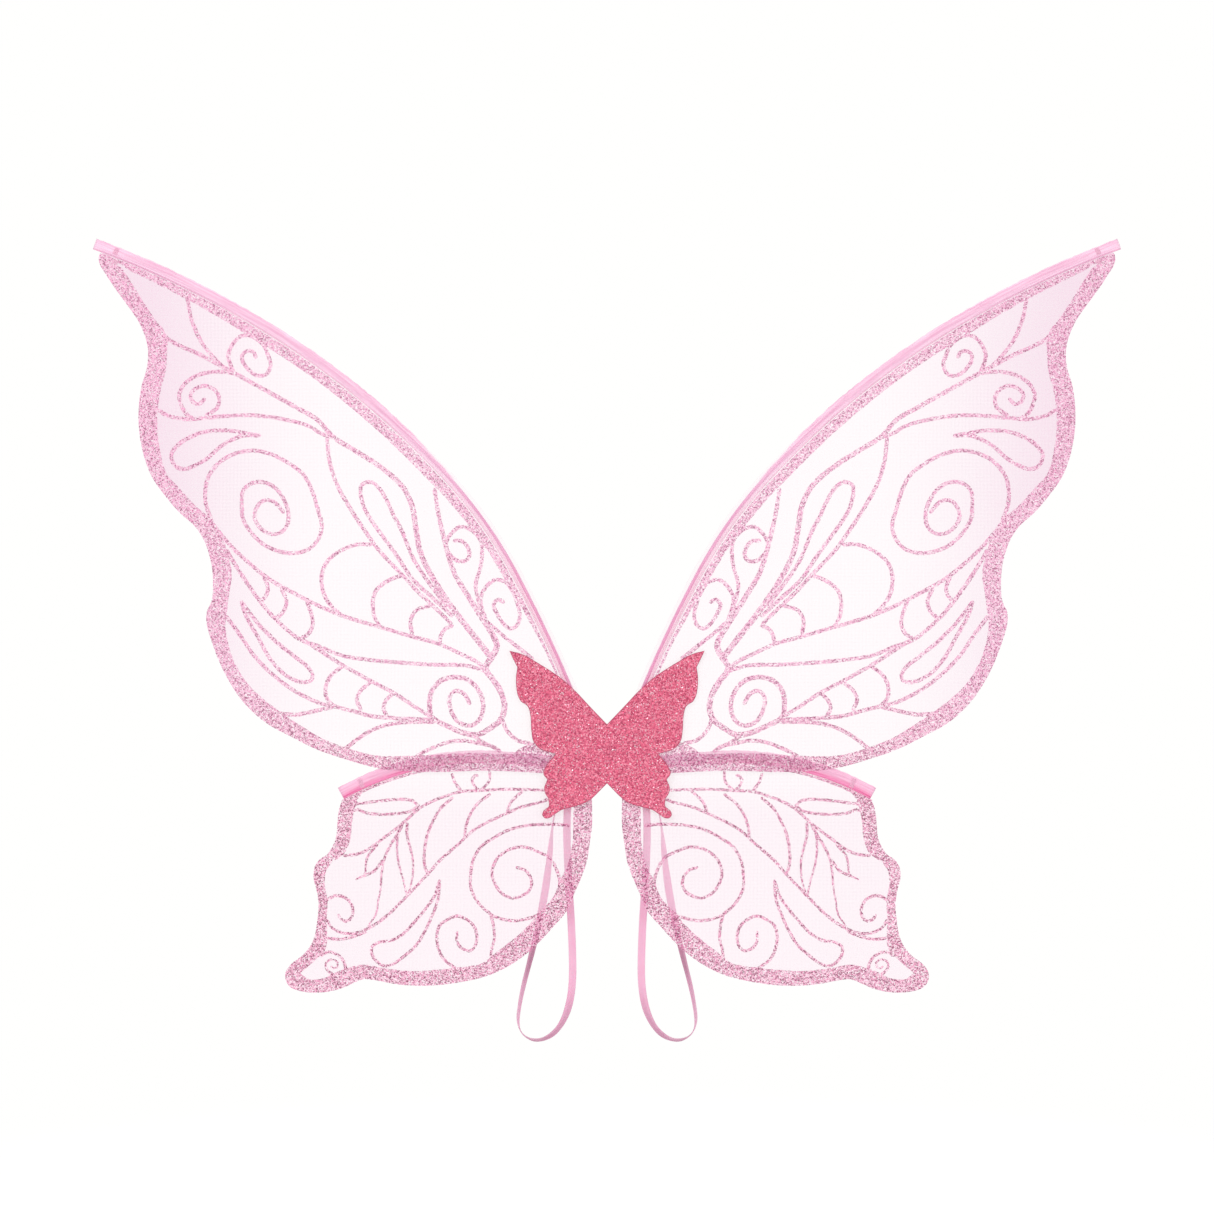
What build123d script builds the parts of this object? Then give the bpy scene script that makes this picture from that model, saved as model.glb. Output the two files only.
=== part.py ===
"""Costume fairy wings: two pairs of sheer printed panels on springy rods, a foam butterfly
over a back pad, and two elastic shoulder loops.

The origin is the centre of the back pad's face that lies on the wearer. +Z is up and +X is to
the right of someone who looks at the butterfly. A depth is a distance from that face towards
the butterfly, which is -Y. The left-hand pieces are drawn, and the right-hand ones mirror them.
"""
import os
from math import cos, pi, radians, sin, tan

from build123d import *

os.makedirs("parts", exist_ok=True)

# ---------------------------------------------------------------- driving sizes, millimetres
upper_size = 1.0            # the upper wings as a multiple of their drawn size
lower_size = 1.0            # the lower wings as a multiple of their drawn size

cover_width = 156.0         # foam butterfly, tip to tip
cover_height = 134.0
cover_thick = 2.5

pad_width = 76.0            # back pad, against the wearer
pad_top = 19.0              # height of its top edge above the origin
pad_drop = 21.0             # depth of its bottom edge below the origin
pad_corner = 9.0
pad_thick = 3.0

rod_diameter = 2.5          # springy rods that spread the wings
tip_setback = 27.0          # rod end to the open end of its sleeve
cap_length = 9.0            # soft cap over each rod end
cap_wall = 0.3
cap_end = 1.2
cap_clearance = 0.15        # between a cap and the inside of its sleeve

upper_sleeve_width = 9.0    # sewn rod sleeves, lying flat
lower_sleeve_width = 10.4
sleeve_wall = 0.4
sleeve_corner = 1.4
tack_setback = 20.0         # sleeve's open end to the stitched bar across it
tack_thick = 0.3
tack_length = 1.6

panel_thick = 0.4           # printed sheer panels
seam_lap = 1.5              # how far the upper panel laps over its sleeve

anchor_inner = 5.0          # rod anchors: nearest and furthest distance from the middle
anchor_outer = 36.0
anchor_top = 19.0
anchor_drop = 15.5
anchor_corner = 2.5
anchor_arm_width = 15.0     # width of the upright arm that holds the upper rod
anchor_arm_height = 16.0    # height of the level arm that holds the lower rod
socket_clearance = 0.05

spacer_width = 7.0          # foam strip that joins the butterfly to the pad
spacer_height = 28.0
fold_gap = 0.3              # clearance along the fold

strap_width = 6.0           # flat elastic shoulder straps
strap_thick = 0.8
strap_gap = 1.1             # between the strap ends and the rod sleeves
strap_end_top = -4.0        # height of the top of each sewn strap end
strap_exit_drop = 4.5       # strap starts to swing this far below the pad
strap_swing_room = 0.8      # left above the free strap when it swings back
strap_exits = (-30.0, -37.5)
strap_tack_width = 5.0
strap_tack_pitch = 8.0

sleeve_gap = 1.5            # between an anchor and the sleeve that starts beside it
panel_gap = 2.0             # between an anchor and the panels

# ---------------------------------------------------------------- places that follow from them
sleeve_thick = rod_diameter + 2 * (cap_wall + cap_clearance + sleeve_wall)
strap_front = pad_thick + strap_thick
rod_depth = strap_front + strap_gap + sleeve_thick / 2
sleeve_back = rod_depth - sleeve_thick / 2
sleeve_front = rod_depth + sleeve_thick / 2
cover_back = sleeve_front + panel_thick
cover_front = cover_back + cover_thick
anchor_thick = cover_back - sleeve_back
strap_exit_height = -pad_drop - strap_exit_drop


class Rod:
    """A bent rod line: where its root is, which way it leaves, and its bends in order.

    Each bend is a radius and a turn to the left in degrees, so the wing lies on the inside.
    """

    def __init__(self, root, heading, bends, size):
        self.root = root
        self.heading = heading
        self.bends = [(radius * size, turn) for radius, turn in bends]
        self.length = sum(radius * radians(turn) for radius, turn in self.bends)

    def arcs(self, begin, finish, inward=0.0):
        """The arcs between two distances from the root, moved inward by a distance."""
        x, z = self.root
        heading = self.heading
        gone = 0.0
        pieces = []
        for radius, turn in self.bends:
            span = radius * radians(turn)
            centre_x = x - radius * sin(radians(heading))
            centre_z = z + radius * cos(radians(heading))
            start = max(begin, gone) - gone
            stop = min(finish, gone + span) - gone
            if stop > start:
                first = heading - 90 + turn * start / span
                sweep_angle = turn * (stop - start) / span
                pieces.append(CenterArc((centre_x, centre_z), radius - inward, first, sweep_angle))
            heading += turn
            gone += span
            x = centre_x + radius * sin(radians(heading))
            z = centre_z - radius * cos(radians(heading))
        return pieces

    def line(self, begin, finish):
        """The same stretch as one path, at the rods' depth."""
        return Plane.XZ.offset(rod_depth) * Wire(self.arcs(begin, finish))

    def spot(self, distance, inward=0.0):
        """A point on the line and the direction there, in the wing's plane."""
        reach = 0.5
        piece = self.arcs(distance - reach, distance + reach, inward)[0]
        return piece @ 0.5, piece % 0.5


upper_rod = Rod(
    root=(-9.3, 1.7),
    heading=109.7,
    bends=[(1045.0, 8.8), (364.0, 15.2), (1230.0, 1.1), (658.0, 13.5), (789.0, 11.4)],
    size=upper_size,
)
lower_rod = Rod(
    root=(-18.0, -10.2),
    heading=172.5,
    bends=[(1157.0, 3.3), (227.5, 33.7)],
    size=lower_size,
)


def upright_face(*edges):
    """A flat face in the wing's plane from a closed run of edges."""
    return make_face(Wire(list(edges)))


def layer(face, back, thick):
    """A flat piece that lies between two depths."""
    return extrude(Plane.XZ.offset(back) * face, amount=thick)


def resized(points, root, size):
    """Outline points drawn around a root, at another size."""
    return [(root[0] + (x - root[0]) * size, root[1] + (z - root[1]) * size) for x, z in points]


# ---------------------------------------------------------------- back pad and strap ends
def back_pad():
    """Felt-faced foam pad that lies between the wearer's shoulder blades."""
    outline = Pos(0, (pad_top - pad_drop) / 2) * RectangleRounded(
        pad_width, pad_top + pad_drop, pad_corner
    )
    return layer(outline, 0, pad_thick)


def centre_spacer():
    """Foam strip down the middle, between the pad and the butterfly."""
    height = cover_back - pad_thick - fold_gap
    return layer(RectangleRounded(spacer_width, spacer_height, 1.5), pad_thick, height)


def strap_ends():
    """The two flat ends of one shoulder loop, sewn to the front of the pad."""
    bottom = strap_exit_height + strap_width / 2 + strap_swing_room
    height = strap_end_top - bottom
    middle = (strap_end_top + bottom) / 2
    faces = [Pos(x, middle) * Rectangle(strap_width, height) for x in strap_exits]
    return [layer(face, pad_thick, strap_thick) for face in faces]


def strap_tacks():
    """Two stitched bars across each strap end."""
    heights = (-pad_drop + 3.0, -pad_drop + 3.0 + strap_tack_pitch)
    bar = RectangleRounded(strap_tack_width, tack_length, 0.5)
    return [layer(Pos(x, z) * bar, strap_front, tack_thick) for x in strap_exits for z in heights]


# ---------------------------------------------------------------- rods, caps and anchors
def swept(rod, begin, finish, section):
    """A section carried along a stretch of a rod line; its first side lies along the depth."""
    path = rod.line(begin, finish)
    start = Plane(origin=path @ 0, x_dir=(0, 1, 0), z_dir=path % 0)
    return sweep(start * section, path=path)


def rod_piece(rod):
    """Springy glass-fibre rod, from the anchor's socket to its soft cap."""
    return swept(rod, 0.5, rod.length - tip_setback, Circle(rod_diameter / 2))


def tip_cap(rod):
    """Soft vinyl cap that keeps the rod's end from poking through the sleeve."""
    end = rod.length - tip_setback
    outside = swept(rod, end - cap_length, end + cap_end, Circle(rod_diameter / 2 + cap_wall))
    inside = swept(rod, end - cap_length - 1, end, Circle(rod_diameter / 2))
    return outside - inside


def rod_anchor():
    """Moulded anchor: an upright arm for the upper rod and a level arm for the lower one."""
    corners = [
        (-anchor_inner, -anchor_drop),
        (-anchor_inner, anchor_top - 8.0),
        (-anchor_inner - 5.0, anchor_top),
        (-anchor_inner - 5.0 - anchor_arm_width, anchor_top),
        (-anchor_inner - 5.0 - anchor_arm_width, anchor_arm_height - anchor_drop),
        (-anchor_outer, anchor_arm_height - anchor_drop),
        (-anchor_outer, -anchor_drop),
    ]
    outline = FilletPolyline(*corners, radius=anchor_corner, close=True)
    block = layer(make_face(outline), sleeve_back, anchor_thick)
    for rod in (upper_rod, lower_rod):
        block -= swept(rod, 0, 60, Circle(rod_diameter / 2 + socket_clearance))
    return block


# ---------------------------------------------------------------- sleeves
def upper_sleeve_start():
    """Distance along the upper rod at which its sleeve clears the anchor's top."""
    return (anchor_top + sleeve_gap - upper_rod.root[1]) / sin(radians(upper_rod.heading)) + 2.0


def lower_sleeve_start():
    """Distance along the lower rod at which its sleeve clears the anchor's side."""
    return anchor_outer + sleeve_gap + lower_rod.root[0]


def sleeve(rod, begin, width):
    """Flattened fabric tunnel that is sewn along the panel and open at its far end."""
    outside = RectangleRounded(sleeve_thick, width, sleeve_corner)
    inside = RectangleRounded(
        sleeve_thick - 2 * sleeve_wall, width - 2 * sleeve_wall, sleeve_corner - sleeve_wall
    )
    return swept(rod, begin, rod.length, outside - inside)


def sleeve_tacks():
    """Stitched bar across each sleeve, past the rod's end, that keeps the rod in."""
    bars = []
    for rod, width, shift in (
        (upper_rod, upper_sleeve_width - seam_lap - 1.4, seam_lap / 2),
        (lower_rod, lower_sleeve_width - 2.8, 0.0),
    ):
        point, along = rod.spot(rod.length - tack_setback, -shift)
        place = Plane(origin=(point.X, point.Y, 0), x_dir=(along.X, along.Y, 0), z_dir=(0, 0, 1))
        bar = place * RectangleRounded(tack_length, width, 0.5)
        bars.append(layer(bar, sleeve_front, tack_thick))
    return bars


# ---------------------------------------------------------------- wing panels
def upper_panel():
    """Upper wing panel: cut from sheer organza, lapped over the sleeve along its top edge."""
    inward = upper_sleeve_width / 2 - seam_lap
    begin = upper_sleeve_start() + 14.0
    top_edge = upper_rod.arcs(begin, upper_rod.length - 7.0, inward)
    near_tip = top_edge[-1] @ 1
    near_hub = top_edge[0] @ 0
    hub_side = -anchor_outer - panel_gap - 2.0
    drawn = [
        (-406.5, 396), (-403, 386), (-386, 361), (-369, 333), (-368, 306), (-374, 277),
        (-371, 242), (-354, 205), (-329, 181), (-317, 155), (-316, 122), (-320, 106),
        (-310, 72), (-288, 38), (-252, 13), (-212, -4), (-168, -14), (-94, -15),
    ]
    outer = resized(drawn, upper_rod.root, upper_size)
    last = (hub_side, -15.5)
    free_edge = Spline(near_tip, *outer, last)
    inner = Polyline(last, (hub_side, 16.0), (near_hub.X, near_hub.Y))
    return layer(upright_face(*top_edge, free_edge, *inner.edges()), sleeve_front, panel_thick)


def lower_panel():
    """Lower wing panel: its top edge is sewn into the underside of the lower sleeve."""
    begin = lower_sleeve_start() + 3.0
    top_edge = lower_rod.arcs(begin, lower_rod.length - 1.0, lower_sleeve_width / 2)
    near_tip = top_edge[-1] @ 1
    near_hub = top_edge[0] @ 0
    drawn_runs = [
        [(-216, -58), (-219, -74), (-230, -85)],
        [(-235, -98), (-231, -120), (-234, -146), (-252, -168)],
        [(-257, -177), (-253, -186), (-240, -191), (-218, -190), (-195, -181)],
        [
            (-168, -185), (-131, -185), (-96, -177), (-65, -161),
            (-43, -139), (-26, -111), (-16, -84), (-12, -56),
        ],
    ]
    runs = [resized(run, lower_rod.root, lower_size) for run in drawn_runs]
    below_anchor = -anchor_drop - panel_gap
    hub_corner = (lower_rod.root[0] + 6.0, below_anchor)
    ends = [run[-1] for run in runs[:-1]] + [hub_corner]
    start = (near_tip.X, near_tip.Y)
    edges = []
    for run, end in zip(runs, ends):
        inside = [point for point in run if point != end]
        edges.append(Spline(start, *inside, end))
        start = end
    inner = Polyline(hub_corner, (-anchor_outer - panel_gap, below_anchor), (near_hub.X, near_hub.Y))
    face = upright_face(*top_edge, *edges, *inner.edges())
    return layer(face, rod_depth - panel_thick / 2, panel_thick)


# ---------------------------------------------------------------- foam butterfly
def cover_half():
    """Left half of the foam butterfly, up to the crease down its middle."""
    wide = cover_width / 156.0
    tall = cover_height / 134.0

    def at(*points):
        return [(x * wide, z * tall) for x, z in points]

    crease = -fold_gap / 2
    top = (crease, 23.2 * tall)
    bottom = (crease, -24.0 * tall)
    tip, nick, waist, notch, dent, neck = at(
        (-78, 82), (-71.6, 68.8), (-68.7, 41.3), (-41, -0.5), (-47.7, -20.9), (-46.9, -35.9)
    )
    edges = [
        Spline(top, *at((-12.3, 36), (-26.5, 51), (-38, 61), (-56.5, 73), (-68, 79)), tip),
        Line(tip, nick),
        ThreePointArc(nick, *at((-72.8, 55)), waist),
        Spline(waist, *at((-63, 37), (-60.8, 20), (-58.5, 9.5), (-53, 3.6)), notch),
        Spline(notch, *at((-48, -9), (-51, -16)), dent),
        ThreePointArc(dent, *at((-50.4, -28)), neck),
        Spline(
            neck,
            *at((-46.8, -42.5), (-51.2, -46.8), (-49.8, -51.8), (-44, -51), (-36, -45.2), (-18, -40)),
            bottom,
        ),
        Line(bottom, top),
    ]
    return layer(upright_face(*edges), cover_back, cover_thick)


# ---------------------------------------------------------------- shoulder loops
strap_depth = pad_thick + strap_thick / 2
strap_route = [
    (strap_exits[0], -strap_depth, strap_exit_height),
    (-32.8, -3.0, -50.0),
    (-31.2, -1.4, -98.0),
    (-28.0, 1.2, -146.0),
    (-27.2, 3.0, -195.0),
    (-38.0, 4.0, -224.0),
    (-57.0, 4.2, -234.0),
    (-73.0, 4.2, -224.0),
    (-69.5, 3.6, -196.0),
    (-60.0, 2.0, -160.0),
    (-50.5, 0.0, -118.0),
    (-46.0, -1.8, -84.0),
    (-43.5, -2.8, -54.0),
    (strap_exits[1], -strap_depth, strap_exit_height),
]


def strap_loop():
    """Elastic shoulder loop, as round as the strap is wide, between its two sewn ends."""
    points = [Vector(*point) for point in strap_route]
    radii = []
    for before, here, after in zip(points, points[1:], points[2:]):
        turn = (here - before).get_angle(after - here)
        shorter = min((here - before).length, (after - here).length)
        radii.append(0.45 * shorter / tan(radians(turn / 2)))
    print("strap bend radii", [round(radius, 1) for radius in radii])
    path = FilletPolyline(*points, radius=radii)
    start = Plane(origin=path @ 0, z_dir=path % 0)
    loop = sweep(start * Circle(strap_width / 2), path=path)
    full = pi * strap_width**2 / 4 * path.length
    print("strap length", round(path.length, 1), "volume ratio", round(loop.volume / full, 4))
    return loop


# ---------------------------------------------------------------- write every piece
def solids_of(shape):
    """The separate solids of a piece or of a list of pieces."""
    shapes = shape if isinstance(shape, list) else [shape]
    return [solid for item in shapes for solid in item.solids()]


def save(name, shape):
    """One file for each piece; a group of like pieces is one file of separate solids."""
    solids = solids_of(shape)
    export_step(solids[0] if len(solids) == 1 else Compound(children=solids), f"parts/{name}.step")


def mirrored(shape):
    """The right-hand copy of a left-hand piece."""
    return [mirror(solid, about=Plane.YZ) for solid in solids_of(shape)]


save("back_pad", back_pad())
save("centre_spacer", centre_spacer())

sided = {
    "strap_ends": strap_ends(),
    "strap_tacks": strap_tacks(),
    "strap_loop": strap_loop(),
    "rod_anchor": rod_anchor(),
    "upper_rod": rod_piece(upper_rod),
    "lower_rod": rod_piece(lower_rod),
    "upper_rod_cap": tip_cap(upper_rod),
    "lower_rod_cap": tip_cap(lower_rod),
    "upper_sleeve": sleeve(upper_rod, upper_sleeve_start(), upper_sleeve_width),
    "lower_sleeve": sleeve(lower_rod, lower_sleeve_start(), lower_sleeve_width),
    "sleeve_tacks": sleeve_tacks(),
    "upper_wing_panel": upper_panel(),
    "lower_wing_panel": lower_panel(),
    "cover_half": cover_half(),
}
for piece_name, piece in sided.items():
    save(f"left_{piece_name}", piece)
    save(f"right_{piece_name}", mirrored(piece))
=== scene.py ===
"""Costume fairy wings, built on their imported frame, from the camera and the shoulder loops to
the printed panels and the glitter butterfly. Shapes are drawn in millimetres as (out, up):
"out" is the distance from the middle of the wings to either side, and "up" is height.
"""
import math
import random

import bpy
import bmesh
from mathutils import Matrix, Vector
from mathutils.geometry import delaunay_2d_cdt


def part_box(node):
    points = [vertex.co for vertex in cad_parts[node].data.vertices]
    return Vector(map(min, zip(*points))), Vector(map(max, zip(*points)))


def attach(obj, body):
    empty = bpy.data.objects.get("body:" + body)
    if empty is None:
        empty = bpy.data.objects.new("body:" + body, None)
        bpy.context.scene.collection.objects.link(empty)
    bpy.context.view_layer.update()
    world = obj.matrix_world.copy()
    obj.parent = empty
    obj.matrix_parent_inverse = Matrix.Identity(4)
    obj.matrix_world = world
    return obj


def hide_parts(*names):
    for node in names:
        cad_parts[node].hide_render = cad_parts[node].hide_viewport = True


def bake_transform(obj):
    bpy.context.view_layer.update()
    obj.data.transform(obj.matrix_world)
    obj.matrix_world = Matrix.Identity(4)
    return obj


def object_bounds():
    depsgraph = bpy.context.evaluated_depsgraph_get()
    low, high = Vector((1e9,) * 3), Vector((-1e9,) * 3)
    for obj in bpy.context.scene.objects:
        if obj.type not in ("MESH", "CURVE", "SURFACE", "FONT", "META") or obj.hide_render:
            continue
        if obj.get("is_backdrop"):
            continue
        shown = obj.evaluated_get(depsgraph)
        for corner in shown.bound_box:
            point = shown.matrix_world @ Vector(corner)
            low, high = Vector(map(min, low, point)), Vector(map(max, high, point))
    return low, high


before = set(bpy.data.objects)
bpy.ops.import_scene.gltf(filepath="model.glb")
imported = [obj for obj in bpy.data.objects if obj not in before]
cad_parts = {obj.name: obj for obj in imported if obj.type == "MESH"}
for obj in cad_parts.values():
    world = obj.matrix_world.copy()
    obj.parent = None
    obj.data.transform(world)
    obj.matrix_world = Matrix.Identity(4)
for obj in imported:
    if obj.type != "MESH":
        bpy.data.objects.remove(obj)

cad_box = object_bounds()
scene = bpy.context.scene


# ---------------------------------------------------------------- camera and light
# The wings hang upright and are seen square on, from a long way off, in a white studio with
# large soft lights: a key from the upper left, a fill from the right and a light from behind.
MM = 0.001
FRAME_WIDTH = 0.971          # width of the view at the wings
LENS_MM = 85.0
SENSOR_MM = 36.0
VIEW_CENTRE_UP = 0.117
WINGS_FORWARD = 0.010        # the wings hang this far in front of the back pad's face
camera_distance = FRAME_WIDTH * LENS_MM / SENSOR_MM + WINGS_FORWARD

camera_data = bpy.data.cameras.new("camera")
camera_data.lens = LENS_MM
camera_data.sensor_width = SENSOR_MM
camera = bpy.data.objects.new("camera", camera_data)
camera.location = (0.0, -camera_distance, VIEW_CENTRE_UP)
camera.rotation_euler = (math.radians(90), 0.0, 0.0)
scene.collection.objects.link(camera)
scene.camera = camera
scene.view_settings.view_transform = "Standard"
scene.view_settings.look = "None"


def soft_light(name, place, aim, size, power):
    """A square area light that faces a point."""
    data = bpy.data.lights.new(name, "AREA")
    data.size = size
    data.energy = power
    light = bpy.data.objects.new(name, data)
    light.location = place
    light.rotation_euler = (Vector(aim) - Vector(place)).to_track_quat("-Z", "Y").to_euler()
    scene.collection.objects.link(light)


soft_light("key_light", (-1.3, -2.0, 1.7), (0, 0, 0.1), 1.4, 22)
soft_light("fill_light", (1.8, -1.8, 0.6), (0, 0, 0.1), 1.8, 9)
soft_light("back_light", (0.6, 2.0, 1.6), (0, 0, 0.1), 1.8, 14)


def srgb(code):
    """The linear colour of an sRGB hex code."""
    channels = [int(code[i:i + 2], 16) / 255 for i in (1, 3, 5)]
    linear = [c / 12.92 if c <= 0.04045 else ((c + 0.055) / 1.055) ** 2.4 for c in channels]
    return (*linear, 1.0)


def add_node(tree, kind, inputs=None, **settings):
    """A node with its settings; each input takes a value or another node's output."""
    node = tree.nodes.new(kind)
    for name, value in settings.items():
        setattr(node, name, value)
    for name, value in (inputs or {}).items():
        socket = node.inputs[name]
        if isinstance(value, bpy.types.NodeSocket):
            tree.links.new(value, socket)
        else:
            socket.default_value = value
    return node


world = bpy.data.worlds.new("studio")
world.use_nodes = True
scene.world = world
sky = world.node_tree
sky.nodes.clear()
seen = add_node(sky, "ShaderNodeLightPath")
room = add_node(sky, "ShaderNodeBackground", {"Color": srgb("#FFFDFE"), "Strength": 0.78})
backdrop = add_node(sky, "ShaderNodeBackground", {"Color": srgb("#FFFFFE"), "Strength": 1.0})
sky_mix = add_node(sky, "ShaderNodeMixShader", {0: seen.outputs["Is Camera Ray"]})
sky.links.new(room.outputs[0], sky_mix.inputs[1])
sky.links.new(backdrop.outputs[0], sky_mix.inputs[2])
add_node(sky, "ShaderNodeOutputWorld", {"Surface": sky_mix.outputs[0]})


# ---------------------------------------------------------------- floor
# Matt white studio vinyl, well below the wings. It thins to nothing towards its rim, so that
# it runs into the white room without an edge.
FLOOR_DROP = 0.18            # below the lowest point of the loops
FLOOR_RADIUS = 0.95


def new_material(name):
    """An empty node material with its output."""
    material = bpy.data.materials.new(name)
    material.use_nodes = True
    material.node_tree.nodes.clear()
    return material, material.node_tree


def place_socket(tree):
    """Where a point of the piece is at rest, in metres."""
    return add_node(tree, "ShaderNodeTexCoord").outputs["Object"]


def floor_vinyl():
    """Rolled studio vinyl: matt, very slightly grained, and clear beyond its middle."""
    material, tree = new_material("matt_white_vinyl_floor")
    place = place_socket(tree)
    flat = add_node(tree, "ShaderNodeMapping", {"Vector": place, "Scale": (1, 1, 0)})
    far = add_node(tree, "ShaderNodeVectorMath", {0: flat.outputs[0]}, operation="LENGTH")
    fade = add_node(tree, "ShaderNodeMapRange", {
        "Value": far.outputs["Value"], 1: 0.25 * FLOOR_RADIUS, 2: 0.95 * FLOOR_RADIUS, 3: 1.0, 4: 0.0,
    }, interpolation_type="SMOOTHSTEP")
    grain = add_node(tree, "ShaderNodeTexNoise", {"Vector": place, "Scale": 400.0, "Detail": 3.0})
    bump = add_node(tree, "ShaderNodeBump", {
        "Height": grain.outputs[0], "Strength": 0.05, "Distance": 0.001,
    })
    skin = add_node(tree, "ShaderNodeBsdfPrincipled", {
        "Base Color": srgb("#FFFEFF"), "Roughness": 0.75, "Alpha": fade.outputs[0],
        "Normal": bump.outputs[0], "Emission Color": srgb("#FFFEFF"), "Emission Strength": 0.12,
    })
    add_node(tree, "ShaderNodeOutputMaterial", {"Surface": skin.outputs[0]})
    return material


floor_mesh = bmesh.new()
bmesh.ops.create_grid(floor_mesh, x_segments=24, y_segments=24, size=FLOOR_RADIUS)
floor_data = bpy.data.meshes.new("studio_floor")
floor_mesh.to_mesh(floor_data)
floor_mesh.free()
floor_data.materials.append(floor_vinyl())
floor = bpy.data.objects.new("studio_floor", floor_data)
floor.location = (0, 0, cad_box[0][2] - FLOOR_DROP)
scene.collection.objects.link(floor)
floor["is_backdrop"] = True


# ---------------------------------------------------------------- shoulder loops
# Flat woven elastic, 6 mm wide. Each loop leaves the pad's lower edge, hangs down behind the
# lower wing, turns on its edge at the bottom and comes back up with a full twist in it.
STRAP_WIDTH = 6.0
STRAP_THICK = 0.8
SIDES = (("left", -1), ("right", 1))
strap_route = [
    (30.0, -3.4, -25.5),
    (32.8, -3.0, -50.0),
    (31.2, -1.4, -98.0),
    (28.0, 1.2, -146.0),
    (27.2, 3.0, -195.0),
    (38.0, 4.0, -224.0),
    (57.0, 4.2, -234.0),
    (73.0, 4.2, -224.0),
    (69.5, 3.6, -196.0),
    (60.0, 2.0, -160.0),
    (50.5, 0.0, -118.0),
    (46.0, -1.8, -84.0),
    (43.5, -2.8, -54.0),
    (37.5, -3.4, -25.5),
]
# How far round its own line the ribbon has turned, in degrees, at shares of its length.
strap_twist = [
    (0, 0), (0.32, 0), (0.40, 14), (0.46, 50), (0.50, 76), (0.53, 95), (0.57, 115), (0.64, 127),
    (0.70, 140), (0.76, 165), (0.80, 180), (0.86, 218), (0.93, 262), (1, 360),
]


def route_line(points, side):
    """Points read from a smooth curve that has the route as its control points."""
    curve = bpy.data.curves.new("route", "CURVE")
    curve.dimensions = "3D"
    curve.resolution_u = 12
    spline = curve.splines.new("NURBS")
    spline.points.add(len(points) - 1)
    for point, (out, depth, up) in zip(spline.points, points):
        point.co = (side * out * MM, depth * MM, up * MM, 1.0)
    spline.order_u = 3
    spline.use_endpoint_u = True
    holder = bpy.data.objects.new("route", curve)
    mesh = bpy.data.meshes.new_from_object(holder)
    line = [vertex.co.copy() for vertex in mesh.vertices]
    bpy.data.objects.remove(holder)
    bpy.data.curves.remove(curve)
    bpy.data.meshes.remove(mesh)
    return line


def between(keys, place):
    """The value at a place along a piece, eased from one key to the next, from (place, value)."""
    for (low, first), (high, last) in zip(keys, keys[1:]):
        if place <= high:
            t = (place - low) / (high - low)
            return first + (last - first) * t * t * (3 - 2 * t)
    return keys[-1][1]


def new_piece(name, points, faces, materials, body, face_slots=None, smooth=False):
    """A mesh piece that rides on a body, from points in metres; its faces look outwards."""
    mesh = bpy.data.meshes.new(name)
    mesh.from_pydata(points, [], faces)
    for material in materials:
        mesh.materials.append(material)
    if face_slots:
        mesh.polygons.foreach_set("material_index", face_slots)
    whole = bmesh.new()
    whole.from_mesh(mesh)
    bmesh.ops.recalc_face_normals(whole, faces=whole.faces)
    whole.to_mesh(mesh)
    whole.free()
    mesh.polygons.foreach_set("use_smooth", [smooth] * len(mesh.polygons))
    piece = bpy.data.objects.new(name, mesh)
    scene.collection.objects.link(piece)
    if body:
        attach(piece, body)
    return piece


def tube_faces(rings, count, closed_ends=True):
    """Faces between rings of points, and over both ends."""
    faces = []
    for ring in range(rings - 1):
        for i in range(count):
            j = (i + 1) % count
            here, ahead = ring * count, (ring + 1) * count
            faces.append((here + i, here + j, ahead + j, ahead + i))
    if closed_ends:
        faces.append(tuple(range(count))[::-1])
        faces.append(tuple((rings - 1) * count + i for i in range(count)))
    return faces


def store_values(piece, **lists):
    """Keeps a number for each point of a piece under a name, for its material to read."""
    for name, values in lists.items():
        piece.data.attributes.new(name, "FLOAT", "POINT").data.foreach_set("value", values)


# How much darker the satin is, at shares of the strap's length: partly its duller back, where the
# loop turns over, and partly painted shade along the lower turn of the loop. The edge that
# faces away from the middle is always lighter, a painted highlight.
FAR_EDGE = 1.4
PAINTED_HIGHLIGHT_EDGE_SHARE = 0.55
strap_dull = [
    (0, 0.05), (0.36, 0.1), (0.44, 0.6), (0.50, 0.9), (0.56, 0.3), (0.62, 0.5), (0.66, 0.9), (0.71, 0.7),
    (0.75, 0.1), (1, 0.0),
]


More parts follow.
